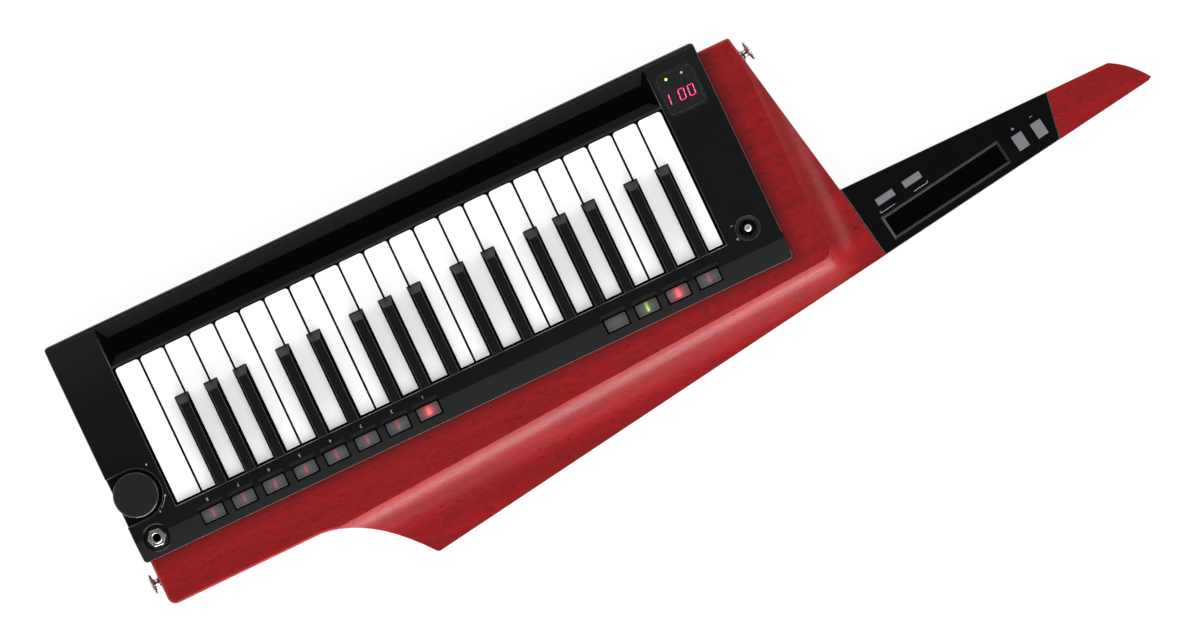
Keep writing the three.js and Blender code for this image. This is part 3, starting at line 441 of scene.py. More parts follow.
# Colour, roughness, clouds, grain, relief in millimetres and what else the shader gets
MOULDED = {
    "printed_ink": ("mark", 0.6, 0.15, 3000, 0.004, {}),
    "polished_chrome": ("chrome", 0.08, 0.04, 260, 0.002, {"metallic": 1.0}),
    "turned_steel": ("steel", 0.42, 0.06, 1800, 0.004, {"metallic": 1.0}),
    "worn_nickel": ("metal", 0.32, 0.1, 500, 0.004, {"metallic": 1.0}),
    "black_steel": ("2a2a2c", 0.35, 0.12, 600, 0.003, {"metallic": 1.0}),
    # Black without reflection, standing in for shade: painted shade in hollows, gaps, bores and
    # under the panel.
    "dull_black": ("060606", 0.8, 0.12, 900, 0.02, {"specular_ior_level": 0.0}),
    "dish_black": ("141414", 0.35, 0.12, 1800, 0.004, {"specular_ior_level": 0.3}),
    # Painted light and shade: a pale and a dark tone, nearly without reflection, on the trough's
    # long walls.
    "trough_rear": ("1f1d1d", 0.5, 0.12, 1800, 0.003, {"specular_ior_level": 0.04}),
    "trough_front": ("100f0f", 0.5, 0.12, 1800, 0.003, {"specular_ior_level": 0.04}),
    # Painted highlight on the rim behind the keys.
    "slot_rim": ("7c7b78", 0.4, 0.12, 1800, 0.003, {}),
    "knob_rubber": ("101011", 0.5, 0.12, 1500, 0.02, {"specular_ior_level": 0.35}),
    "knob_rim": ("19191a", 0.26, 0.12, 1500, 0.005,
                 {"specular_ior_level": 0.6, "coat_weight": 0.3}),
    "black_washer": ("0a0a0a", 0.4, 0.12, 1500, 0.02, {}),
    # Painted shade: the white keys darken towards the rear, where the panel shades them.
    "white_key_plastic": ("white_key", 0.22, 0.012, 900, 0.003, {
        "fade": (-6, KEY_REAR, "b4b8b8"), "coat_weight": 0.25, "coat_roughness": 0.08}),
    "black_key_plastic": ("black_key", 0.32, 0.05, 2800, 0.0005, {"specular_ior_level": 0.26}),
    # Painted sheen on the black keys' front slope, and a painted highlight on the top's long edges.
    "black_key_slope": ("20201f", 0.35, 0.05, 2800, 0.0005, {"specular_ior_level": 0.4}),
    "black_key_edge": ("5c5850", 0.4, 0.1, 900, 0.001, {}),
    "touch_film": ("film", 0.12, 0.2, 700, 0.002, {"specular_ior_level": 0.25}),
    "smoked_window": ("pane", 0.3, 0.1, 1800, 0.004, {"specular_ior_level": 0.5}),
    # Painted highlight on the display window's rounded rim.
    "window_rim": ("3c3c3e", 0.4, 0.12, 1800, 0.003, {}),
    "segment_off": ("332426", 0.4, 0.12, 1500, 0.02, {}),
    "neck_black": ("0a0909", 0.26, 0.15, 2200, 0.003, {"specular_ior_level": 0.14}),
    # Painted highlight on the neck plate's rounded edges.
    "neck_rim": ("5a5654", 0.4, 0.12, 1800, 0.003, {}),
    "rim_black": ("0f0e0e", 0.26, 0.12, 1800, 0.003, {"specular_ior_level": 0.4}),
    "pad_silicone": ("pad", 0.6, 0.05, 1600, 0.01, {}),
    "cover_moulding": ("18181a", 0.6, 0.12, 1400, 0.04, {}),
    "chassis_moulding": ("101011", 0.65, 0.12, 800, 0.05, {}),
}
# Colours of a cap's lamp and of its core, width of the line, its power and that of the mist
CAP_LAMPS = {
    "smoked_cap": None,
    "smoked_cap_dim": ("ff2430", "ff2430", 1.0, 0.36, 0.02),
    "smoked_cap_bright": ("ff2430", "ff6672", 2.2, 1.15, 0.26),
    "smoked_cap_lime": ("a4dc10", "dcff58", 1.15, 1.0, 0.05),
}


class Finish:
    """A material's nodes, added one by one and wired by name."""

    def __init__(self, name):
        self.material = bpy.data.materials.new(name)
        self.material.use_nodes = True
        self.nodes = self.material.node_tree.nodes
        self.shader = self.nodes["Principled BSDF"]
        self.coords = self.add("ShaderNodeTexCoord").outputs["Object"]

    def add(self, kind, **numbers):
        node = self.nodes.new(kind)
        for key, value in numbers.items():
            setattr(node, key, value)
        return node

    def link(self, source, target):
        """Wires a source to a socket, or sets the socket if the source is a number or colour."""
        if isinstance(source, bpy.types.NodeSocket):
            self.material.node_tree.links.new(source, target)
        else:
            target.default_value = (*source, 1) if isinstance(source, tuple) else source

    def wire(self, name, source):
        """Wires a source to one of the shader's sockets."""
        self.link(source, self.shader.inputs[name])

    def noise(self, stretch, detail=3, roughness=0.55):
        """Cloudy pattern with so many lumps a metre along each axis."""
        mapping = self.add("ShaderNodeMapping")
        mapping.inputs["Scale"].default_value = stretch
        self.link(self.coords, mapping.inputs["Vector"])
        noise = self.add("ShaderNodeTexNoise")
        noise.inputs["Scale"].default_value = 1
        noise.inputs["Detail"].default_value = detail
        noise.inputs["Roughness"].default_value = roughness
        self.link(mapping.outputs["Vector"], noise.inputs["Vector"])
        return noise.outputs["Fac"]

    def parts(self, source):
        """The three numbers of a vector."""
        node = self.add("ShaderNodeSeparateXYZ")
        self.link(source, node.inputs["Vector"])
        return node.outputs

    def ranged(self, source, from_low, from_high, to_low, to_high):
        """A value moved from one range to another."""
        node = self.add("ShaderNodeMapRange")
        self.link(source, node.inputs["Value"])
        for key, value in (("From Min", from_low), ("From Max", from_high),
                           ("To Min", to_low), ("To Max", to_high)):
            node.inputs[key].default_value = value
        return node.outputs["Result"]

    def mixed(self, share, first, second):
        """Two colours mixed by a share."""
        node = self.add("ShaderNodeMix", data_type="RGBA")
        for key, value in (("Factor", share), ("A", first), ("B", second)):
            self.link(value, node.inputs[key])
        return node.outputs["Result"]

    def maths(self, operation, first, second=0.0):
        """A sum, product or the like of two values."""
        node = self.add("ShaderNodeMath", operation=operation)
        for socket, value in zip(node.inputs, (first, second)):
            self.link(value, socket)
        return node.outputs["Value"]

    def times(self, first, second):
        return self.maths("MULTIPLY", first, second)

    def bell(self, value, width, centre=0.0):
        """A soft peak round a value."""
        off = self.maths("DIVIDE", self.maths("SUBTRACT", value, centre), width)
        return self.maths("POWER", math.e, self.times(self.times(off, off), -1.0))

    def corners(self, width):
        """Nothing on flat parts and more at a sharper corner, within a width in millimetres."""
        rounder = self.add("ShaderNodeBevel", samples=3)
        rounder.inputs["Radius"].default_value = width * MM
        match = self.add("ShaderNodeVectorMath", operation="DOT_PRODUCT")
        self.link(rounder.outputs["Normal"], match.inputs[0])
        self.link(self.add("ShaderNodeNewGeometry").outputs["True Normal"], match.inputs[1])
        return self.maths("SUBTRACT", 1.0, match.outputs["Value"])

    def gloss(self, source, low, high):
        """Roughness that follows a pattern."""
        self.wire("Roughness", self.ranged(source, 0.3, 0.7, low, high))

    def bumped(self, source, height, strength=0.5):
        """Relief of a height in millimetres."""
        node = self.add("ShaderNodeBump")
        node.inputs["Strength"].default_value = strength
        node.inputs["Distance"].default_value = height * MM
        self.link(source, node.inputs["Height"])
        self.wire("Normal", node.outputs["Normal"])

    def shine(self, **numbers):
        """Numbers that are the same all over, set on the shader."""
        for key, value in numbers.items():
            name = key.replace("_", " ").title().replace(" Ior ", " IOR ")
            self.shader.inputs[name].default_value = value


def scaled(shade, share):
    """A colour made darker or lighter."""
    return tuple(min(1, c * share) for c in shade)


def look(name):
    """A moulded finish of the table, made when it is first asked for."""
    if name not in bpy.data.materials:
        shade, *numbers, more = MOULDED[name]
        moulded(name, tint(shade), *numbers, **more)
    return bpy.data.materials[name]


def moulded(name, base, roughness, mottle, grain, relief, fade=None, **shine):
    """Moulded plastic, rubber or metal with slight clouds, a fine texture and uneven gloss, and if
    asked a painted shade that darkens it towards a tone along Y.
    """
    finish = Finish(name)
    lighter = tuple(min(1, c * (1 + mottle) + mottle * 0.004) for c in base)
    shade = finish.mixed(finish.noise((45, 45, 45), detail=4), scaled(base, 1 - mottle), lighter)
    # Painted shade: the colour darkens towards a tone between two places along Y, most near the
    # end.
    if fade:
        start, end, tone = fade
        share = finish.ranged(finish.parts(finish.coords)["Y"], start * MM, end * MM, 0, 1)
        shade = finish.mixed(finish.maths("POWER", share, 3.5), shade, linear(tone))
    finish.wire("Base Color", shade)
    texture = finish.noise((grain, grain, grain), detail=2)
    finish.gloss(texture, roughness * 0.88, min(1, roughness * 1.12))
    finish.bumped(texture, relief)
    finish.shine(**shine)


def stained_wood():
    """Open-grained wood under a red stain and satin lacquer, with the grain along the neck, a
    painted shadow beside the panel and a painted highlight on the ridge.
    """
    finish = Finish("stained_wood")
    pore = tint("pore")
    bands = finish.noise((4, 70, 30), detail=5, roughness=0.6)
    ground = finish.mixed(finish.ranged(bands, 0.3, 0.7, 0.1, 1), tint("wood_deep"), tint("wood"))
    ripple = finish.noise((110, 640, 320))
    rippled = finish.mixed(finish.ranged(ripple, 0.45, 0.75, 0, 0.3), ground, pore)
    pores = finish.noise((170, 1450, 700), roughness=0.6)
    clusters = finish.noise((30, 160, 90), detail=2)
    mask = finish.times(finish.ranged(pores, 0.5, 0.64, 0, 0.66),
                        finish.ranged(clusters, 0.4, 0.6, 0.45, 1))
    # Painted shadow: on the top faces, the stain darkens halfway to the pore colour within 11 mm of
    # the panel's rear and neck-side edges.
    place = finish.parts(finish.coords)
    beside = finish.maths("MAXIMUM", finish.maths("SUBTRACT", place["Y"], PANEL_HIGH[1] * MM),
                          finish.maths("SUBTRACT", PANEL_LOW[0] * MM, place["X"]))
    painted_panel_shadow = finish.times(finish.ranged(beside, 0, 11 * MM, 0.5, 0), finish.ranged(
        place["Z"], (WOOD_TOP - 1) * MM, (WOOD_TOP - 0.2) * MM, 0, 1))
    # Painted highlight: a pale pink line on rounded corners such as the ridge.
    corners = finish.corners(0.9)
    ridge = finish.times(finish.ranged(corners, 0.003, 0.016, 0, 0.4),
                         finish.ranged(corners, 0.03, 0.05, 1, 0))
    grained = finish.mixed(painted_panel_shadow, finish.mixed(mask, rippled, pore), pore)
    finish.wire("Base Color", finish.mixed(ridge, grained, linear("e0585c")))
    finish.gloss(ripple, 0.38, 0.46)
    finish.bumped(finish.maths("SUBTRACT", 1.0, mask), 0.05)
    finish.shine(specular_ior_level=0.16, coat_weight=0.2, coat_roughness=0.25)
    return finish.material


def moulded_panel():
    """Fine matt black moulding with a painted sheen, paler towards the front roll, and painted
    highlights on its edges.
    """
    finish = Finish("satin_black")
    base = tint("panel")
    y = finish.parts(finish.coords)["Y"]
    # Painted sheen: the black grows paler towards the front roll.
    shade = finish.mixed(finish.ranged(y, -0.124, -0.08, 1, 0), base, scaled(base, 2.2))
    clouds = finish.noise((45, 45, 45), detail=4)
    clouded = finish.mixed(finish.ranged(clouds, 0.3, 0.7, 0, 0.12), shade, scaled(base, 2))
    # Painted highlight: a grey line on the rounded edges, left out in the band of the buttons.
    clear_of_buttons = finish.maths("ADD", finish.ranged(y, 0.0245, 0.0255, 1, 0),
                                    finish.ranged(y, 0.0405, 0.0415, 0, 1))
    edge = finish.times(clear_of_buttons, finish.ranged(finish.corners(0.5), 0.009, 0.03, 0, 0.75))
    finish.wire("Base Color", finish.mixed(edge, clouded, linear("6a6a6b")))
    texture = finish.noise((2200, 2200, 2200), detail=2)
    finish.gloss(texture, 0.34, 0.42)
    finish.bumped(texture, 0.01)
    finish.shine(specular_ior_level=0.16)
    return finish.material


def lit_cap(name, lamp):
    """Smoked button cap with a lamp's line shining through it, a short bar at its front end, and
    painted shade darkening it towards its rim.
    """
    finish = Finish(name)
    base = tint("cap")
    place = finish.parts(finish.add("ShaderNodeUVMap", uv_map="lamp").outputs["UV"])
    across, along = place["X"], place["Y"]
    clouded = finish.mixed(finish.noise((120, 480, 160)), scaled(base, 0.85), scaled(base, 1.2))
    # Painted shade: the cap darkens towards its rim, down to a third of its colour.
    painted_lit_middle = finish.times(finish.bell(across, 9.0), finish.bell(along, 5.0))
    finish.wire("Base Color", finish.mixed(painted_lit_middle, scaled(base, 0.35), clouded))
    fine = finish.noise((1200, 1200, 1200), detail=2)
    finish.gloss(fine, 0.26, 0.36)
    finish.bumped(fine, 0.01, 0.4)
    finish.shine(coat_weight=0.3, coat_roughness=0.12)
    if lamp:
        glow, core, line_width, power, halo = lamp
        ends = finish.times(finish.ranged(along, -3.4, -2.2, 0.25, 1),
                            finish.ranged(along, 2.4, 3.8, 1, 0))
        stroke = finish.times(finish.times(finish.bell(across, line_width), ends),
                              finish.ranged(along, -2.5, 2.2, 0.62, 1))
        bar = finish.times(finish.bell(across, 1.5), finish.bell(along, 0.4, -3.3))
        lit = finish.maths("MAXIMUM", stroke, finish.times(bar, 0.75))
        mist = finish.times(finish.times(finish.bell(across, 6.0), finish.bell(along, 6.0, 0.2)),
                            halo)
        finish.wire("Emission Strength", finish.maths("ADD", finish.times(lit, power), mist))
        finish.wire("Emission Color", finish.mixed(finish.times(lit, lit), linear(glow),
                                                   linear(core)))
    return finish.material


def glowing(name, base, glow, strength):
    """A lamp or a lit segment, a little brighter in places."""
    finish = Finish(name)
    base, glow = linear(base), linear(glow)
    clouds = finish.noise((900, 900, 900))
    finish.wire("Base Color", finish.mixed(clouds, base, glow))
    finish.wire("Emission Color", finish.mixed(clouds, scaled(glow, 0.85), glow))
    finish.shine(roughness=0.3, emission_strength=strength)
    return finish.material


# Stage: each lamp's place, size and share of the lamp level, in metres

LAMPS = {
    "rear_softbox": ((0.0, 1.7, 2.05), (3.0, 1.2), 0.5),
    "low_softbox": ((0.1, 2.2, 0.55), (3.0, 0.8), 3.9),
    "front_softbox": ((0.0, -1.8, 1.8), (2.8, 1.0), 0.45),
    "neck_softbox": ((-1.9, 0.2, 1.35), (1.1, 0.8), 1.15),
    "tail_softbox": ((1.9, 0.0, 1.3), (1.1, 0.8), 0.5),
    "overhead_fill": ((0.0, 0.01, 3.2), (3.0, 3.0), 0.42),
}
SKY = ((0.0, 1.0), (0.35, 0.9), (0.7, 0.36), (0.93, 0.09), (1.0, 0.04))
CAMERA_PLACE, CAMERA_TURN = (0.03115, 0.0268), math.radians(154.656)


class KEYTAR_OT_stage(bpy.types.Operator):
    """Adds the pale floor, the soft lamps, the white surroundings and the camera"""

    bl_idname = "keytar.stage"
    bl_label = "Stage"

    def execute(self, context):
        stage = context.scene.keytar_stage
        fresh()
        bpy.ops.mesh.primitive_plane_add(size=14, location=(0, 0, -0.4 * MM))
        floor = newest("floor")
        floor.data.materials.append(self.floor_finish(tuple(stage.floor)))
        self.surroundings(context.scene)
        for name, (place, sides, share) in LAMPS.items():
            self.lamp(name, place, sides, stage.lamp * share)
        self.camera(context.scene, stage)
        return {"FINISHED"}

    def floor_finish(self, shade):
        """Matt and pale, and nearly white to the camera, so that only shadows show."""
        finish = Finish("pale_floor")
        finish.wire("Base Color", finish.mixed(finish.noise((3, 3, 3)), scaled(shade, 0.97), shade))
        finish.shine(roughness=0.9, specular_ior_level=0.1)
        white = finish.add("ShaderNodeEmission")
        white.inputs["Strength"].default_value = 1.1
        seen = finish.add("ShaderNodeLightPath").outputs["Is Camera Ray"]
        both = finish.add("ShaderNodeMixShader")
        for source, target in ((finish.times(seen, 0.8), both.inputs["Fac"]),
                               (finish.shader.outputs["BSDF"], both.inputs[1]),
                               (white.outputs["Emission"], both.inputs[2]),
                               (both.outputs["Shader"],
                                finish.nodes["Material Output"].inputs["Surface"])):
            finish.link(source, target)
        return finish.material

    def surroundings(self, scene):
        """White at the horizon and dim overhead, where the camera hangs."""
        world = bpy.data.worlds.new("studio")
        world.use_nodes = True
        scene.world = world
        nodes, links = world.node_tree.nodes, world.node_tree.links
        ramp = nodes.new("ShaderNodeValToRGB")
        for place, level in SKY[1:-1]:
            ramp.color_ramp.elements.new(place)
        for element, (place, level) in zip(ramp.color_ramp.elements, SKY):
            element.position = place
            element.color = (level, level, level, 1)
        parts = nodes.new("ShaderNodeSeparateXYZ")
        links.new(nodes.new("ShaderNodeTexCoord").outputs["Generated"], parts.inputs["Vector"])
        links.new(parts.outputs["Z"], ramp.inputs["Fac"])
        links.new(ramp.outputs["Color"], nodes["Background"].inputs["Color"])
        nodes["Background"].inputs["Strength"].default_value = 0.6

    def lamp(self, name, place, sides, level):
        """A rectangular soft lamp turned to the instrument; level is what it shines with."""
        data = bpy.data.lights.new(name, "AREA")
        data.shape = "RECTANGLE"
        data.size, data.size_y = sides
        data.energy = level * math.pi * sides[0] * sides[1]
        lamp = bpy.data.objects.new(name, data)
        lamp.location = place
        lamp.rotation_euler = (-Vector(place)).to_track_quat("-Z", "Y").to_euler()
        lamp.visible_glossy = lamp.visible_camera = name != "overhead_fill"
        bpy.context.scene.collection.objects.link(lamp)

    def camera(self, scene, stage):
        """Straight above, turned as the photograph is, with a long lens."""
        data = bpy.data.cameras.new("camera")
        camera = bpy.data.objects.new("camera", data)
        scene.collection.objects.link(camera)
        camera.location = (*CAMERA_PLACE, stage.camera_height)
        camera.rotation_euler = (0, 0, CAMERA_TURN)
        reach = stage.camera_height - PANEL_TOP * MM
        data.lens = data.sensor_width * reach / stage.view_width
        data.clip_end = 50
        scene.camera = camera
        scene.view_settings.view_transform = "Standard"


# Pieces

class KEYTAR_OT_wood_body(bpy.types.Operator):
    """Rounds the ridge and the upper edges of the wooden body and stains it red"""

    bl_idname = "keytar.wood_body"
    bl_label = "Wooden body"

    def execute(self, context):
        horn_front, neck_rise, cavity_floor = -100, 29, 9
        body = copied("wood_body", "stained_body")

        def upper_edge(edge):
            place = middle(edge)
            flat = max(face.normal.z for face in edge.link_faces) > 0.6
            return (turn_of(edge) > 0.45 and flat and edge.calc_length() > 0.4 * MM
                    and place.z > neck_rise and place.y > horn_front
                    and not within(place, *CAVITY))

        bevelled(body, upper_edge, size("wood_edge"), 2, keep_size=True)
        smooth(body, 28)
        dress(body, stained_wood(), node="wood_body")
        # Painted shade: the faces inside the cavity are made black.
        second_finish(body, "dull_black", lambda place, normal: within(place, *CAVITY)
                      and cavity_floor < place.z < WOOD_TOP - 0.1)
        return {"FINISHED"}


class KEYTAR_OT_top_panel(bpy.types.Operator):
    """Cuts finger scoops into the black panel and rounds its edges"""

    bl_idname = "keytar.top_panel"
    bl_label = "Top panel"

    def execute(self, context):
        panel = copied("top_panel", "moulded_panel")

        def outer_edge(edge):
            place = middle(edge)
            top_face = max(face.normal.z for face in edge.link_faces) > 0.9
            return (turn_of(edge) > 0.5 and top_face and edge.calc_length() > 0.3 * MM
                    and place.z > WOOD_TOP - 1 and not within(place, *BUTTON_ROW)
                    and not within(place, *WINDOW, 0.5))

        def crisp(edge):
            place = middle(edge)
            bend = runs(edge, "x") and min(abs(place.y - y) for y in PANEL_BENDS) < 0.1
            scoop = abs(place.y - BUTTON_LOW[1]) < 3.8 and place.z > PANEL_TOP - 1.2
            return turn_of(edge) > 0.06 and place.z > WOOD_TOP + 1 and (bend or scoop)

        for axis, value in PANEL_SPLITS:
            split(panel, axis, value)
        bevelled(panel, outer_edge, size("panel_edge"), 2)
        carve(panel, self.scoops(size("scoop")))
        choose(panel, "EDGE", crisp)
        bpy.ops.mesh.mark_sharp()
        shut()
        smooth(panel, 28)
        dress(panel, moulded_panel(), node="top_panel")
        # Painted light and shade: black in the dish's and window's hollows and at the trough's
        # ends, a pale and a dark tone on the trough's long walls, a highlight on the rim behind the
        # keys.
        for name, test in (("dish_black", self.dish), ("dull_black", self.hidden),
                           ("trough_rear", lambda place, normal: self.wall(place, normal, -1)),
                           ("trough_front", lambda place, normal: self.wall(place, normal, 1)),
                           ("dull_black", self.trough_end), ("slot_rim", self.slot_rim)):
            second_finish(panel, name, test)
        return {"FINISHED"}

    def dish(self, place, normal):
        """The slanted wall of the lever's dish."""
        return (0.5 < normal.z < 0.95 and place.z < PANEL_TOP - 0.1
                and distance(place, LEVER_CENTRE) < DISH_RADIUS)

    def hidden(self, place, normal):
        """Walls and floors below the dish and the window, which get painted shade."""
        in_dish = distance(place, LEVER_CENTRE) < DISH_RADIUS and place.z < PANEL_TOP - 2
        in_window = within(place, *WINDOW, 0.5) and place.z < PANEL_TOP - 0.4
        floor = normal.z > 0.95 and place.z < PANEL_TOP - 0.9
        return (in_dish or in_window) and (normal.z < 0.5 or floor)

    def wall(self, place, normal, side):
        """A long wall of the trough, with its floor's bends; these get tones of painted light and
        shade.
        """
        return (within(place, *TROUGH) and abs(normal.x) < 0.3 and normal.z < 0.98
                and normal.y * side > -0.1)

    def trough_end(self, place, normal):
        """An end wall of the trough, which gets painted shade."""
        return within(place, *TROUGH) and abs(normal.x) >= 0.3 and normal.z < 0.98

    def slot_rim(self, place, normal):
        """The edge behind the keys, which gets a painted highlight."""
        return (abs(place.y - SLOT_REAR) < 0.8 and 0.1 < normal.z < 0.98
                and SLOT_LEFT - 1 < place.x < SLOT_RIGHT + 1 and place.z > PANEL_TOP - 0.7)

    def scoops(self, depth):
        """One cutter with a ramp down to every button."""
        half = (BUTTON_HIGH[0] - BUTTON_LOW[0]) / 2 - 0.3
        rear = BUTTON_LOW[1]
        cutters = []
        for node in BUTTONS:
            x = place_of(node)[0]
            cutter = block("scoop", (x - half, rear - 3.5, PANEL_TOP - depth),
                           (x + half, rear + 1, PANEL_TOP))
            corners_rounded(cutter, 1.2)
            choose(cutter, "FACE", lambda face: face.normal.z < -0.9)
            swell(0.97, 0.15, (x, rear + 1, PANEL_TOP - depth))
            shut()
            choose(cutter, "FACE", lambda face: face.normal.z > 0.9)
            extrude(z=1)
            shut()
            cutters.append(cutter)
        return put_together(cutters, "scoops")


class KEYTAR_OT_buttons(bpy.types.Operator):
    """Models one smoked button cap and copies it into every hole"""

    bl_idname = "keytar.buttons"
    bl_label = "Panel buttons"

    def execute(self, context):
        finishes = {name: lit_cap(name, lamp) for name, lamp in CAP_LAMPS.items()}
        lamps = {"mode_button_2": "smoked_cap_bright", "mode_button_3": "smoked_cap_lime",
                 "mode_button_4": "smoked_cap", "program_button_1": "smoked_cap_bright"}
        first = self.cap()
        for node in BUTTONS:
            cap = twin(first, node + "_cap", x=place_of(node)[0] - BUTTON_CENTRE[0])
            dress(cap, finishes[lamps.get(node, "smoked_cap_dim")], node, node)
            # Painted shade: the cap's lower rim and walls are black, a dark outline round each cap.
            second_finish(cap, "dull_black", lambda place, normal: place.z < PANEL_TOP - 0.5)
        bpy.data.objects.remove(first)
        return {"FINISHED"}

    def cap(self):
        """A cap with a slanted rim, on the flange that keeps it under the panel."""
        flange, slack, flange_top = 1.6, 0.3, BUTTON_LOW[2] + 1.2
        cap = block("cap", (BUTTON_LOW[0] + flange + slack, BUTTON_LOW[1] + slack, BUTTON_LOW[2]),
                    (BUTTON_HIGH[0] - flange - slack, BUTTON_HIGH[1] - slack, PANEL_TOP))
        corners_rounded(cap, 1.2)
        bevelled(cap, lambda edge: middle(edge).z > PANEL_TOP - 0.1, size("cap_edge"), 2)
        split(cap, "z", flange_top)
        choose(cap, "FACE", lambda face: abs(face.normal.x) > 0.99 and middle(face).z < flange_top)
        bpy.ops.mesh.extrude_region_shrink_fatten(
            TRANSFORM_OT_shrink_fatten={"value": (flange + slack) * MM})
        shut()
        outward(cap)
        smooth(cap, 30)
        lamp = cap.data.uv_layers.new(name="lamp")
        for loop in cap.data.loops:
            place = cap.data.vertices[loop.vertex_index].co / MM
            lamp.data[loop.index].uv = (place.x - BUTTON_CENTRE[0], place.y - BUTTON_CENTRE[1])
        return cap


class KEYTAR_OT_lever_switch(bpy.types.Operator):
    """Turns the small metal lever with its ball and slotted tip"""

    bl_idname = "keytar.lever_switch"
    bl_label = "Lever switch"

    def execute(self, context):
        bottom, top = LEVER_LOW[2], LEVER_HIGH[2]
        ball = 3.5
        pivot = bottom + ball
        profile = [(0.4, bottom)]
        for step in range(1, 6):
            angle = -math.pi / 2 + step * math.pi / 7
            profile.append((ball * math.cos(angle), pivot + ball * math.sin(angle)))
        profile += [(1.5, pivot + 3.2), (1.8, top - 6), (2.3, top - 4), (2.75, top - 3),
                    (2.9, top - 2), (2.75, top - 1.1), (2.35, top - 0.5), (1.7, top - 0.12),
                    (0.9, top)]
        lever = turned("lever", profile, LEVER_CENTRE, 32)
        x, y = LEVER_CENTRE
        slot = block("slot", (x - 1.6, y - 0.35, top - 0.6), (x + 1.6, y + 0.35, top + 1))
        turn_about(slot, LEVER_CENTRE, 40)
        carve(lever, slot)
        smooth(lever, 38)
        dress(lever, look("turned_steel"), "lever_switch", "lever_switch")
        # Painted shade: the ball and lower shaft, down in the dish, are black.
        second_finish(lever, "dull_black", lambda place, normal: place.z < top - 6)
        return {"FINISHED"}


class KEYTAR_OT_volume_knob(bpy.types.Operator):
    """Turns the volume knob and presses grooves into its side"""

    bl_idname = "keytar.volume_knob"
    bl_label = "Volume knob"

    def execute(self, context):
        radius = (KNOB_HIGH[0] - KNOB_LOW[0]) / 2
        bottom, top = KNOB_HIGH[2] - 12.1, KNOB_HIGH[2]
        profile = [(3, KNOB_LOW[2]), (3, bottom + 1.2), (radius - 1.6, bottom + 1.2),
                   (radius - 1.4, bottom), (radius - 0.4, bottom), (radius, bottom + 0.6),
                   (radius, top - 1.1), (radius - 0.3, top - 0.45), (radius - 0.9, top - 0.05),
                   (radius - 1.5, top), (radius - 3, top)]
        ridges = context.scene.keytar_sizes.knob_ridges
        knob = turned("knob", profile, KNOB_CENTRE, 2 * ridges)

        def groove(face):
            place = middle(face) - Vector((*KNOB_CENTRE, 0))
            step = int(math.floor(math.atan2(place.y, place.x) / math.pi * ridges))
            return abs(face.normal.z) < 0.1 and place.xy.length > radius - 0.2 and step % 2 == 0

        choose(knob, "FACE", groove)
        bpy.ops.mesh.inset(thickness=0.15 * MM, depth=-0.45 * MM, use_individual=True)
        shut()
        carve(knob, turned("dot", [(0.75, top - 0.5), (0.75, top + 1)],
                           (KNOB_CENTRE[0] + 1, KNOB_CENTRE[1] + radius - 4.6), 20))
        smooth(knob, 32)
        dress(knob, look("knob_rubber"), "volume_knob", "volume_knob")
        second_finish(knob, "knob_rim", lambda place, normal: place.z > bottom + 2
                      and normal.z < 0.9 and distance(place, KNOB_CENTRE) > radius - 0.8)
        return {"FINISHED"}


class KEYTAR_OT_headphone_jack(bpy.types.Operator):
    """Turns the jack's bush and adds its washer and hex nut"""

    bl_idname = "keytar.headphone_jack"
    bl_label = "Headphone jack"

    def execute(self, context):
        top, bottom = JACK_HIGH[2], JACK_LOW[2]
        shoulder = PANEL_TOP - JACK_POCKET - JACK_WALL - JACK_GAP
        floor = PANEL_TOP - JACK_POCKET + JACK_GAP
        bush = turned("bush", [(7, bottom), (7, shoulder), (4.5, shoulder), (4.5, top - 0.3),
                               (4.2, top), (3.6, top), (3.2, top - 0.4), (3.2, bottom + 3)],
                      JACK_CENTRE, 48)
        smooth(bush, 35)
        dress(bush, look("worn_nickel"), node="headphone_jack")
        # Painted shade: the bore of the bush is black.
        second_finish(bush, "dull_black", lambda place, normal: place.z < top - 0.3
                      and distance(place, JACK_CENTRE) < 3.4)
        nut = self.ring("jack_nut", [(7.1, floor), (7.33, floor + 0.4), (7.33, floor + 2.5),
                                     (6.9, floor + 3)], 6, 4.6, 23)
        rounded(nut, 0.2, 2)
        smooth(nut)
        dress(nut, look("worn_nickel"))
        washer = self.ring("jack_washer", [(8.6, floor - 0.25), (8.6, floor + 0.05),
                                           (8.3, floor + 0.15), (7.0, floor + 0.15)], 48, 4.7)
        smooth(washer, 35)
        dress(washer, look("black_washer"))
        return {"FINISHED"}

    def ring(self, name, profile, sides, bore, degrees=0):
        """A turned piece with a hole through it."""
        floor = profile[0][1]
        ring = turned(name, profile, JACK_CENTRE, sides)
        if degrees:
            turn_about(ring, JACK_CENTRE, degrees)
        carve(ring, turned("hole", [(bore, floor - 2), (bore, floor + 5)], JACK_CENTRE, 40))
        return ring


def tailed(key, left, right, rear, low, high):
    """Joins a key to the narrower tail that reaches back to its hinge."""
    tail = block("tail", (left + 1, rear - 1.5, low[2]), (right - 1, high[1], low[2] + 7))
    key = put_together([key, tail], "key")
    smooth(key, 35)
    return key


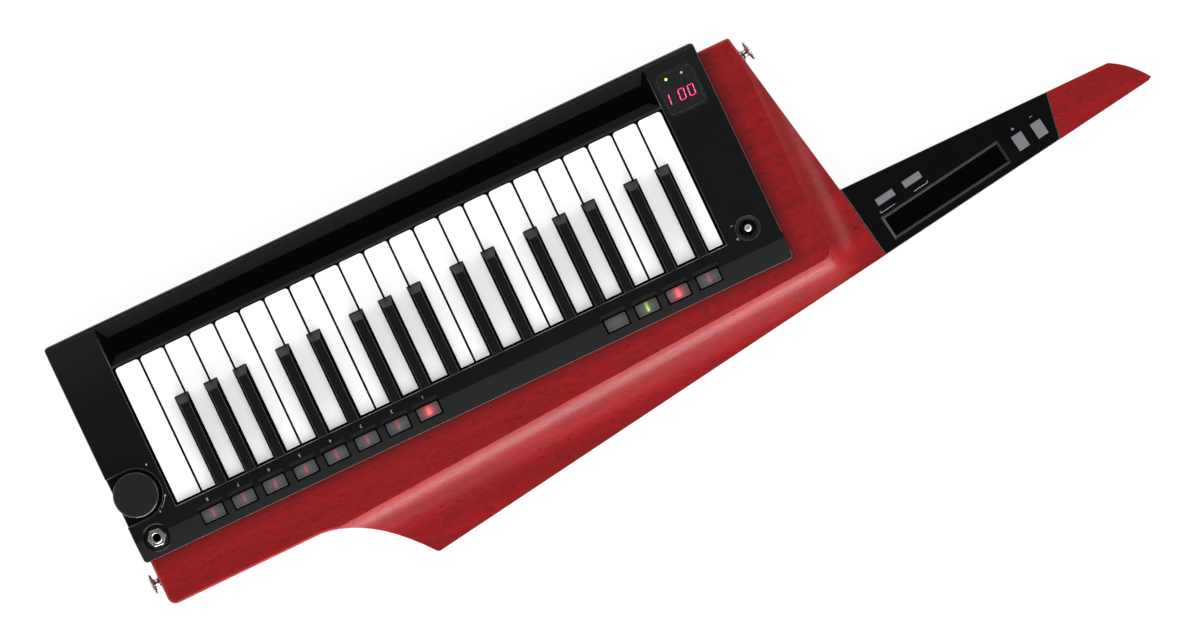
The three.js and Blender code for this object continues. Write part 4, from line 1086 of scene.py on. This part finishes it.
class KEYTAR_OT_white_keys(bpy.types.Operator):
    """Models each kind of white key once and copies it into the other octaves"""

    bl_idname = "keytar.white_keys"
    bl_label = "White keys"

    def execute(self, context):
        pitch = node_box("white_key_c2")[0][0] - node_box("white_key_c1")[0][0]
        for letter in WHITE_LETTERS:
            first = self.key(letter, 1)
            for octave in range(1, OCTAVES + 1):
                node = f"white_key_{letter}{octave}"
                self.finished(twin(first, node + "_cap", x=(octave - 1) * pitch), node)
            bpy.data.objects.remove(first)
        node = f"white_key_c{OCTAVES + 1}"
        last = self.key("c", OCTAVES + 1)
        last.name = node + "_cap"
        self.finished(last, node)
        return {"FINISHED"}

    def finished(self, key, node):
        """White, with painted shade: black on the tail under the panel and on the sides below the
        top.
        """
        dress(key, look("white_key_plastic"), node, node)
        top = node_box(node)[1][2]
        # Painted shade in the gaps between keys and under the panel.
        second_finish(key, "dull_black", lambda place, normal: place.y > KEY_REAR + 0.2
                      or (place.z < top - 1.3 and abs(normal.x) > 0.9))

    def sharp_box(self, letter, octave):
        """The black key after a white one, if there is one."""
        node = f"black_key_{letter}_sharp{octave}"
        return node_box(node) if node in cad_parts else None

    def key(self, letter, octave):
        """A key's wide front with a narrower rear between its black neighbours, and its tail."""
        low, high = node_box(f"white_key_{letter}{octave}")
        clear, slack = 0.4, 0.33
        low = [low[0] + slack, low[1] + slack, low[2]]
        high = [high[0] - slack, high[1], high[2]]
        after = self.sharp_box(letter, octave)
        previous = WHITE_LETTERS[WHITE_LETTERS.index(letter) - 1]
        before = self.sharp_box(previous, octave if letter != "c" else octave - 1)
        rear_left = before[1][0] + clear if before else low[0]
        rear_right = after[0][0] - clear if after else high[0]
        shoulder = SHARP_LOW[1] - 0.8
        top, bottom = high[2], high[2] - 9
        key = block("key", (low[0], low[1], bottom), (high[0], shoulder, top))
        for x in (rear_left, rear_right):
            if low[0] < x < high[0]:
                split(key, "x", x)
        choose(key, "FACE", lambda face: face.normal.y > 0.9
               and rear_left < middle(face).x < rear_right)
        extrude(y=KEY_REAR - shoulder)
        shut()
        bevelled(key, lambda edge: runs(edge, "z") and middle(edge).y < low[1] + 0.1
                 and turn_of(edge) > 1, 2.5, 5)
        split(key, "z", top - 1.3)
        self.hollow(key)
        rounded(key, size("key_edge"), angle=50)
        return tailed(key, rear_left, rear_right, KEY_REAR, low, high)

    def hollow(self, key):
        """The moulding is open below, with walls 2 mm thick."""
        choose(key, "FACE", lambda face: face.normal.z < -0.9)
        bpy.ops.mesh.dissolve_faces()
        bpy.ops.mesh.inset(thickness=2 * MM, depth=0)
        extrude(z=6)
        shut()


class KEYTAR_OT_black_keys(bpy.types.Operator):
    """Models one black key and copies it to every place"""

    bl_idname = "keytar.black_keys"
    bl_label = "Black keys"

    def execute(self, context):
        first = self.key()
        for octave in range(1, OCTAVES + 1):
            for letter in SHARP_LETTERS:
                node = f"black_key_{letter}_sharp{octave}"
                key = twin(first, node + "_cap", x=node_box(node)[0][0] - SHARP_LOW[0])
                dress(key, look("black_key_plastic"), node, node)
                # Painted sheen on the front slope and a painted highlight on the top's long edges.
                second_finish(key, "black_key_slope",
                              lambda place, normal: normal.y < -0.3 and normal.z > 0.3)
                second_finish(key, "black_key_edge", lambda place, normal: normal.y > -0.15
                              and 0.3 < abs(normal.x) < 0.9 and place.z > SHARP_HIGH[2] - 1)
                # Painted shade: the sides, rear faces and tail are black without reflection.
                second_finish(key, "dull_black", lambda place, normal: abs(normal.x) > 0.9
                              or normal.y > 0.7 or place.y > SLOT_REAR)
        bpy.data.objects.remove(first)
        return {"FINISHED"}

    def key(self):
        """A tapering top with a slanted front, on a straight foot, and its tail."""
        low, high = SHARP_LOW, SHARP_HIGH
        rear, foot, top_share, slope_length = SLOT_REAR - 0.4, 43.5, 7.5 / 10.6, 6.5
        shoulder, top = high[2] - 9, high[2]
        key = block("key", (low[0], low[1], foot), (high[0], rear, shoulder))
        choose(key, "FACE", lambda face: face.normal.z > 0.9)
        extrude(z=top - shoulder)
        reach = rear - low[1]
        swell(top_share, (reach - slope_length) / reach, ((low[0] + high[0]) / 2, rear, top))
        shut()
        rounded(key, size("sharp_edge"))
        return tailed(key, low[0], high[0], rear, low, high)


class KEYTAR_OT_ribbons(bpy.types.Operator):
    """Lays the long touch strip into its trough and the short one into the neck"""

    bl_idname = "keytar.ribbons"
    bl_label = "Touch strips"

    def execute(self, context):
        half_x, half_y = (half - 0.25 for half in RECESS_HALF)
        self.strip("long_ribbon", (SLOT_LEFT + 6.7, RIBBON_FRONT), (SLOT_RIGHT - 6.7, RIBBON_REAR),
                   PANEL_TOP - 6, (0, 0), 0)
        self.strip("neck_ribbon", (-half_x, -half_y), (half_x, half_y),
                   NECK_TOP - 1.2, NECK_PLACE, NECK_ANGLE)
        return {"FINISHED"}

    def strip(self, name, low, high, floor, place, angle):
        """A thin film over an area, turned and moved to its place."""
        film = block(name, (*low, floor), (*high, floor + 0.3))
        rounded(film, 0.12, 2)
        smooth(film)
        dress(laid(film, place, angle), look("touch_film"))


FIRST_DIGIT, DIGIT_PITCH, LAMP_ROW = (-105.3, -100.5), 7.8, -115.5
SEGMENTS = {"0": "abcdef", "1": "bc"}
# Place across and up, in halves of the digit, and if the segment stands upright
SEGMENT_PLACES = {"a": (0, 1, 0), "g": (0, 0, 0), "d": (0, -1, 0),
                  "f": (-1, 0.5, 1), "b": (1, 0.5, 1), "e": (-1, -0.5, 1), "c": (1, -0.5, 1)}


class KEYTAR_OT_display(bpy.types.Operator):
    """Adds the display's smoked window, its three digits and two small lamps"""

    bl_idname = "keytar.display"
    bl_label = "Display"

    def execute(self, context):
        gap = size("groove")
        low, high = WINDOW
        face = PANEL_TOP - 0.1
        pane = block("display_window", (low[0] + gap, low[1] + gap, PANEL_TOP - 1),
                     (high[0] - gap, high[1] - gap, face))
        corners_rounded(pane, 2.8, 6)
        rounded(pane, 0.45, 2)
        smooth(pane)
        dress(pane, look("smoked_window"))
        # Painted highlight on the window's rounded rim.
        second_finish(pane, "window_rim", lambda place, normal: 0.2 < normal.z < 0.97)
        core = glowing("segment_core", "ff4c96", "ff56ac", 1.2)
        rim = glowing("segment_rim", "d01828", "ff2c40", 1.0)
        for place, (number, side) in enumerate((("0", "left"), ("0", "centre"), ("1", "right"))):
            centre = (FIRST_DIGIT[0] + DIGIT_PITCH * place, FIRST_DIGIT[1])
            digit = self.digit(f"digit_{side}", SEGMENTS[number], centre, face)
            for finish in (rim, core):
                digit.data.materials.append(finish)
            for polygon in digit.data.polygons:
                corners = [digit.data.vertices[v].co for v in polygon.vertices]
                wide, high = (max(c[i] for c in corners) - min(c[i] for c in corners)
                              for i in (0, 1))
                polygon.material_index = int(polygon.normal.z > 0.9 and high > 3 * MM > wide)
            dress(digit, None)
            dark = [letter for letter in "abcdefg" if letter not in SEGMENTS[number]]
            dress(self.digit(f"digit_{side}_unlit", dark, centre, face),
                  look("segment_off"))
        for name, x, finish in (
                ("lamp_left", -103.8, glowing("lamp_grey", "8a9096", "9aa2aa", 0.3)),
                ("lamp_right", -91.1, glowing("lamp_lime", "b8d820", "e6ff50", 1.4))):
            lamp = turned(name, [(1.0, face), (1.0, face + 0.04), (0.8, face + 0.08)],
                          (x, LAMP_ROW), 24)
            smooth(lamp)
            dress(lamp, finish)
        return {"FINISHED"}

    def digit(self, name, letters, centre, face):
        """Some of a digit's segments as one piece."""
        return put_together([self.segment(letter, centre, face) for letter in letters], name)

    def segment(self, letter, centre, face):
        """One segment with pointed ends, leaning as the digits do."""
        across, up, upright = SEGMENT_PLACES[letter]
        half_width, thick, reach, lean_angle = 2.2, 0.64, 3.8, math.radians(5)
        half = size("digit_height") / 2 - 0.55
        x, y = centre[0] + across * half_width, centre[1] + up * half
        long, short = (half - 0.15) / 2, thick / 2
        sides = (short, long) if upright else (reach / 2, short)
        piece = block("segment", (x - sides[0], y - sides[1], face - 0.02),
                      (x + sides[0], y + sides[1], face + 0.06))
        bevelled(piece, lambda edge: runs(edge, "z"), short * 0.85, 1)
        choose(piece, "FACE", lambda f: f.normal.z > 0.9)
        bpy.ops.mesh.inset(thickness=0.2 * MM, depth=0.01 * MM)
        shut()
        lean = Matrix.Identity(4)
        lean[0][1] = math.tan(lean_angle)
        place = Matrix.Translation(Vector((0, centre[1], 0)) * MM)
        piece.data.transform(place @ lean @ place.inverted())
        return piece


class KEYTAR_OT_neck_panel(bpy.types.Operator):
    """Slants the rim of the neck's ribbon recess and rounds the neck panel"""

    bl_idname = "keytar.neck_panel"
    bl_label = "Neck panel"

    def execute(self, context):
        panel = copied("neck_panel", "neck_plate")
        corners = [corner.co.copy() for corner in panel.data.vertices]

        def outline(edge):
            side, top = sorted(edge.link_faces, key=lambda face: face.normal.z)
            place = middle(edge) * MM
            return (top.normal.z > 0.9 and side.normal.z < 0.5 and place.z > (NECK_TOP - 0.5) * MM
                    and all((corner - place).dot(side.normal) < MM for corner in corners))

        bevelled(panel, outline, 0.45, 2)
        carve(panel, self.recess(depth=1.0, slope=2.0))
        smooth(panel, 15)
        dress(panel, look("neck_black"), node="neck_panel")
        # Painted highlight on the rounded top edges.
        second_finish(panel, "neck_rim", lambda place, normal: 0.1 < normal.z < 0.97
                      and place.z > NECK_TOP - 0.47)
        second_finish(panel, "rim_black", lambda place, normal: 0.7 < normal.z < 0.96
                      and NECK_TOP - 0.9 < place.z < NECK_TOP - 0.3)
        return {"FINISHED"}

    def recess(self, depth, slope):
        """A cutter that widens upwards over the ribbon's recess."""
        x, y = RECESS_HALF
        cutter = block("recess", (-x, -y, NECK_TOP - depth), (x, y, NECK_TOP + 0.01))
        choose(cutter, "FACE", lambda face: face.normal.z > 0.9)
        swell((x + slope) / x, (y + slope) / y, (0, 0, NECK_TOP))
        extrude(z=1)
        shut()
        return laid(cutter, NECK_PLACE, NECK_ANGLE)


class KEYTAR_OT_neck_keypad(bpy.types.Operator):
    """Rounds the four silicone pads of the neck"""

    bl_idname = "keytar.neck_keypad"
    bl_label = "Neck pads"

    def execute(self, context):
        pads = copied("neck_keypad", "silicone_pads")
        bevelled(pads, lambda edge: turn_of(edge) > 1 and (
            middle(edge).z > NECK_TOP or (runs(edge, "z") and middle(edge).z > NECK_TOP - 5)),
            size("pad_edge"), keep_size=True)
        smooth(pads, 35)
        dress(pads, look("pad_silicone"), node="neck_keypad")
        # Painted shade: the pads' sides and rounded edges are black, a dark gap round each pad.
        second_finish(pads, "dull_black", lambda place, normal: abs(normal.z) < 0.9)
        return {"FINISHED"}


class KEYTAR_OT_strap_pins(bpy.types.Operator):
    """Turns one chrome strap pin and fits it at the tail and at the horn"""

    bl_idname = "keytar.strap_pins"
    bl_label = "Strap pins"

    def execute(self, context):
        profile = [(2.5, -9.5), (2.5, 0.3), (5.5, 0.3), (5.5, 1.2), (5.2, 1.5), (3.6, 2.3),
                   (3.0, 3.2), (3.0, 5.2), (3.5, 5.9), (6.6, 6.4), (7.6, 6.75), (8.0, 7.3),
                   (7.85, 7.9), (7.1, 8.4), (5.8, 8.75), (3.8, 8.95), (1.8, 9.0)]
        first = turned("pin", profile, (0, 0), 48)
        smooth(first, 45)
        for node, place, angle, tilt in (
                ("strap_pin_tail", TAIL_PIN, 0, math.pi / 2),
                ("strap_pin_horn", HORN_PIN, HORN_ANGLE, -math.pi / 2)):
            pin = twin(first, node + "_turned")
            pin.data.transform(Matrix.Translation(Vector(place) * MM)
                               @ Matrix.Rotation(angle, 4, "Z") @ Matrix.Rotation(tilt, 4, "Y"))
            dress(pin, look("polished_chrome"), node=node)
        bpy.data.objects.remove(first)
        return {"FINISHED"}


class KEYTAR_OT_rear_cover(bpy.types.Operator):
    """Models the cover in the back with its countersunk screws"""

    bl_idname = "keytar.rear_cover"
    bl_label = "Rear cover"

    def execute(self, context):
        low, high = COVER_LOW, COVER_HIGH
        bottom = low[2]
        cover = corners_rounded(block("cover_plate", low, high), 6, 6)
        places = [(x, y) for x in (low[0] + 9, (low[0] + high[0]) / 2, high[0] - 9)
                  for y in (low[1] + 4.2, high[1] - 4.2)]
        sinks = [turned("sink", [(3.2, bottom - 1), (3.2, bottom), (1.6, bottom + 1.6)], place, 32)
                 for place in places]
        carve(cover, put_together(sinks, "sinks"))
        rounded(cover, 0.3, 2, 40)
        smooth(cover)
        dress(cover, look("cover_moulding"), node="rear_cover")
        for number, place in enumerate(places, 1):
            screw = turned(f"cover_screw_{number}", [
                (1.5, bottom + 1.5), (2.9, bottom + 0.25), (2.9, bottom + 0.1),
                (2.4, bottom + 0.02)], place, 32)
            carve(screw, turned("socket", [(1.2, bottom - 1), (1.2, bottom + 0.9)], place, 6))
            smooth(screw, 35)
            dress(screw, look("black_steel"))
        return {"FINISHED"}


class KEYTAR_OT_chassis(bpy.types.Operator):
    """Gives the keybed chassis its satin black finish"""

    bl_idname = "keytar.chassis"
    bl_label = "Keybed chassis"

    def execute(self, context):
        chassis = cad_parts["keybed_chassis"]
        chassis.data.materials.clear()
        chassis.data.materials.append(look("chassis_moulding"))
        return {"FINISHED"}


LINE_HALF, NUMBER_ROW = 0.17, 22.0


def bar(long):
    """The area of a short printed line."""
    return [(-long / 2, -LINE_HALF, long / 2, LINE_HALF)]


def plus(long):
    """The areas of two crossed lines."""
    return bar(long) + [(-LINE_HALF, -long / 2, LINE_HALF, long / 2)]


def bracket(long, end):
    """A line with a tick down at one end."""
    return bar(long) + [(end - LINE_HALF, -1.7, end + LINE_HALF, -0.1)]


# Place, height of the face, turn and areas of each mark
MARKS = {
    "mark_lever_up": ((-88.5, 16.3), PANEL_TOP, 0, plus(2.0)),
    "mark_lever_down": ((-88.5, 5.3), PANEL_TOP, 0, bar(2.0)),
    "mark_octave_up": ((-312.6, 29.8), NECK_TOP, NECK_ANGLE, plus(2.6)),
    "mark_octave_down": ((-329.1, 27.3), NECK_TOP, NECK_ANGLE, bar(2.6)),
    "mark_bracket_left": ((-231.4, 39.6), NECK_TOP, NECK_ANGLE, bracket(12.6, -6.2)),
    "mark_bracket_right": ((-201.9, 43.8), NECK_TOP, NECK_ANGLE, bracket(12.6, 6.2)),
    **{f"mark_volume_{number}": (around(KNOB_CENTRE, 21.5, degrees), PANEL_TOP,
                                 math.radians(degrees + 90), bar(1.9))
       for number, degrees in enumerate((131, 137, 143, 149), 1)},
    "mark_volume_more": (around(KNOB_CENTRE, 22, 120), PANEL_TOP, 0, plus(1.8)),
}
DOTS = {"mark_volume_zero": (-16.6, -17.4), "mark_volume_less": (-19.4, 9.6)}


class KEYTAR_OT_marks(bpy.types.Operator):
    """Prints the plain numbers, the signs and the volume marks"""

    bl_idname = "keytar.marks"
    bl_label = "Printed marks"

    def execute(self, context):
        for number in range(1, 9):
            self.number(number, (place_of(f"program_button_{number}")[0], NUMBER_ROW))
        for name, (place, face, angle, areas) in MARKS.items():
            lines = [block("line", (*area[:2], face - 0.01),
                           (*area[2:], face + (0.015 if step else 0.02)))
                     for step, area in enumerate(areas)]
            self.printed(laid(put_together(lines, name), place, angle))
        for name, (x, y) in DOTS.items():
            self.printed(turned(name, [(0.75, PANEL_TOP - 0.01), (0.75, PANEL_TOP + 0.02)],
                                (KNOB_CENTRE[0] + x, KNOB_CENTRE[1] + y), 20))
        return {"FINISHED"}

    def printed(self, piece):
        """Gives a mark the ink of the print."""
        dress(piece, look("printed_ink"))

    def number(self, number, place):
        """A plain number with its middle at a place."""
        fresh()
        bpy.ops.object.text_add(location=[value * MM for value in (*place, PANEL_TOP - 0.01)])
        text = bpy.context.object.data
        text.body = str(number)
        text.size = size("mark_height") * 1.4 * MM
        text.align_x = text.align_y = "CENTER"
        text.extrude = 0.02 * MM
        text.resolution_u = 4
        bpy.ops.object.convert(target="MESH")
        piece = settle(newest(f"mark_{number}"))
        outward(piece)
        self.printed(piece)


PIECES = (KEYTAR_OT_stage, KEYTAR_OT_wood_body, KEYTAR_OT_chassis, KEYTAR_OT_rear_cover,
          KEYTAR_OT_strap_pins, KEYTAR_OT_top_panel, KEYTAR_OT_ribbons, KEYTAR_OT_display,
          KEYTAR_OT_buttons, KEYTAR_OT_lever_switch, KEYTAR_OT_volume_knob,
          KEYTAR_OT_headphone_jack, KEYTAR_OT_white_keys, KEYTAR_OT_black_keys,
          KEYTAR_OT_neck_panel, KEYTAR_OT_neck_keypad, KEYTAR_OT_marks)
GROUPS = {"keytar_sizes": KeytarSizes, "keytar_colours": KeytarColours,
          "keytar_stage": KeytarStage}


class KEYTAR_PT_maker(bpy.types.Panel):
    """Lists the pieces, the sizes and the colours"""

    bl_idname = "KEYTAR_PT_maker"
    bl_label = "Keytar"
    bl_space_type = "VIEW_3D"
    bl_region_type = "UI"
    bl_category = "Keytar"

    def draw(self, context):
        for piece in PIECES:
            self.layout.operator(piece.bl_idname, text=piece.bl_label)
        for name, group in GROUPS.items():
            box = self.layout.box()
            for prop in group.__annotations__:
                box.prop(getattr(context.scene, name), prop)


CLASSES = (*GROUPS.values(), *PIECES, KEYTAR_PT_maker)


def register():
    for item in CLASSES:
        bpy.utils.register_class(item)
    for name, group in GROUPS.items():
        setattr(bpy.types.Scene, name, PointerProperty(type=group))


def unregister():
    for name in GROUPS:
        delattr(bpy.types.Scene, name)
    for item in reversed(CLASSES):
        bpy.utils.unregister_class(item)


def main():
    register()
    for piece in PIECES:
        getattr(bpy.ops.keytar, piece.bl_idname.split(".")[1])()


if __name__ == "__main__":
    main()
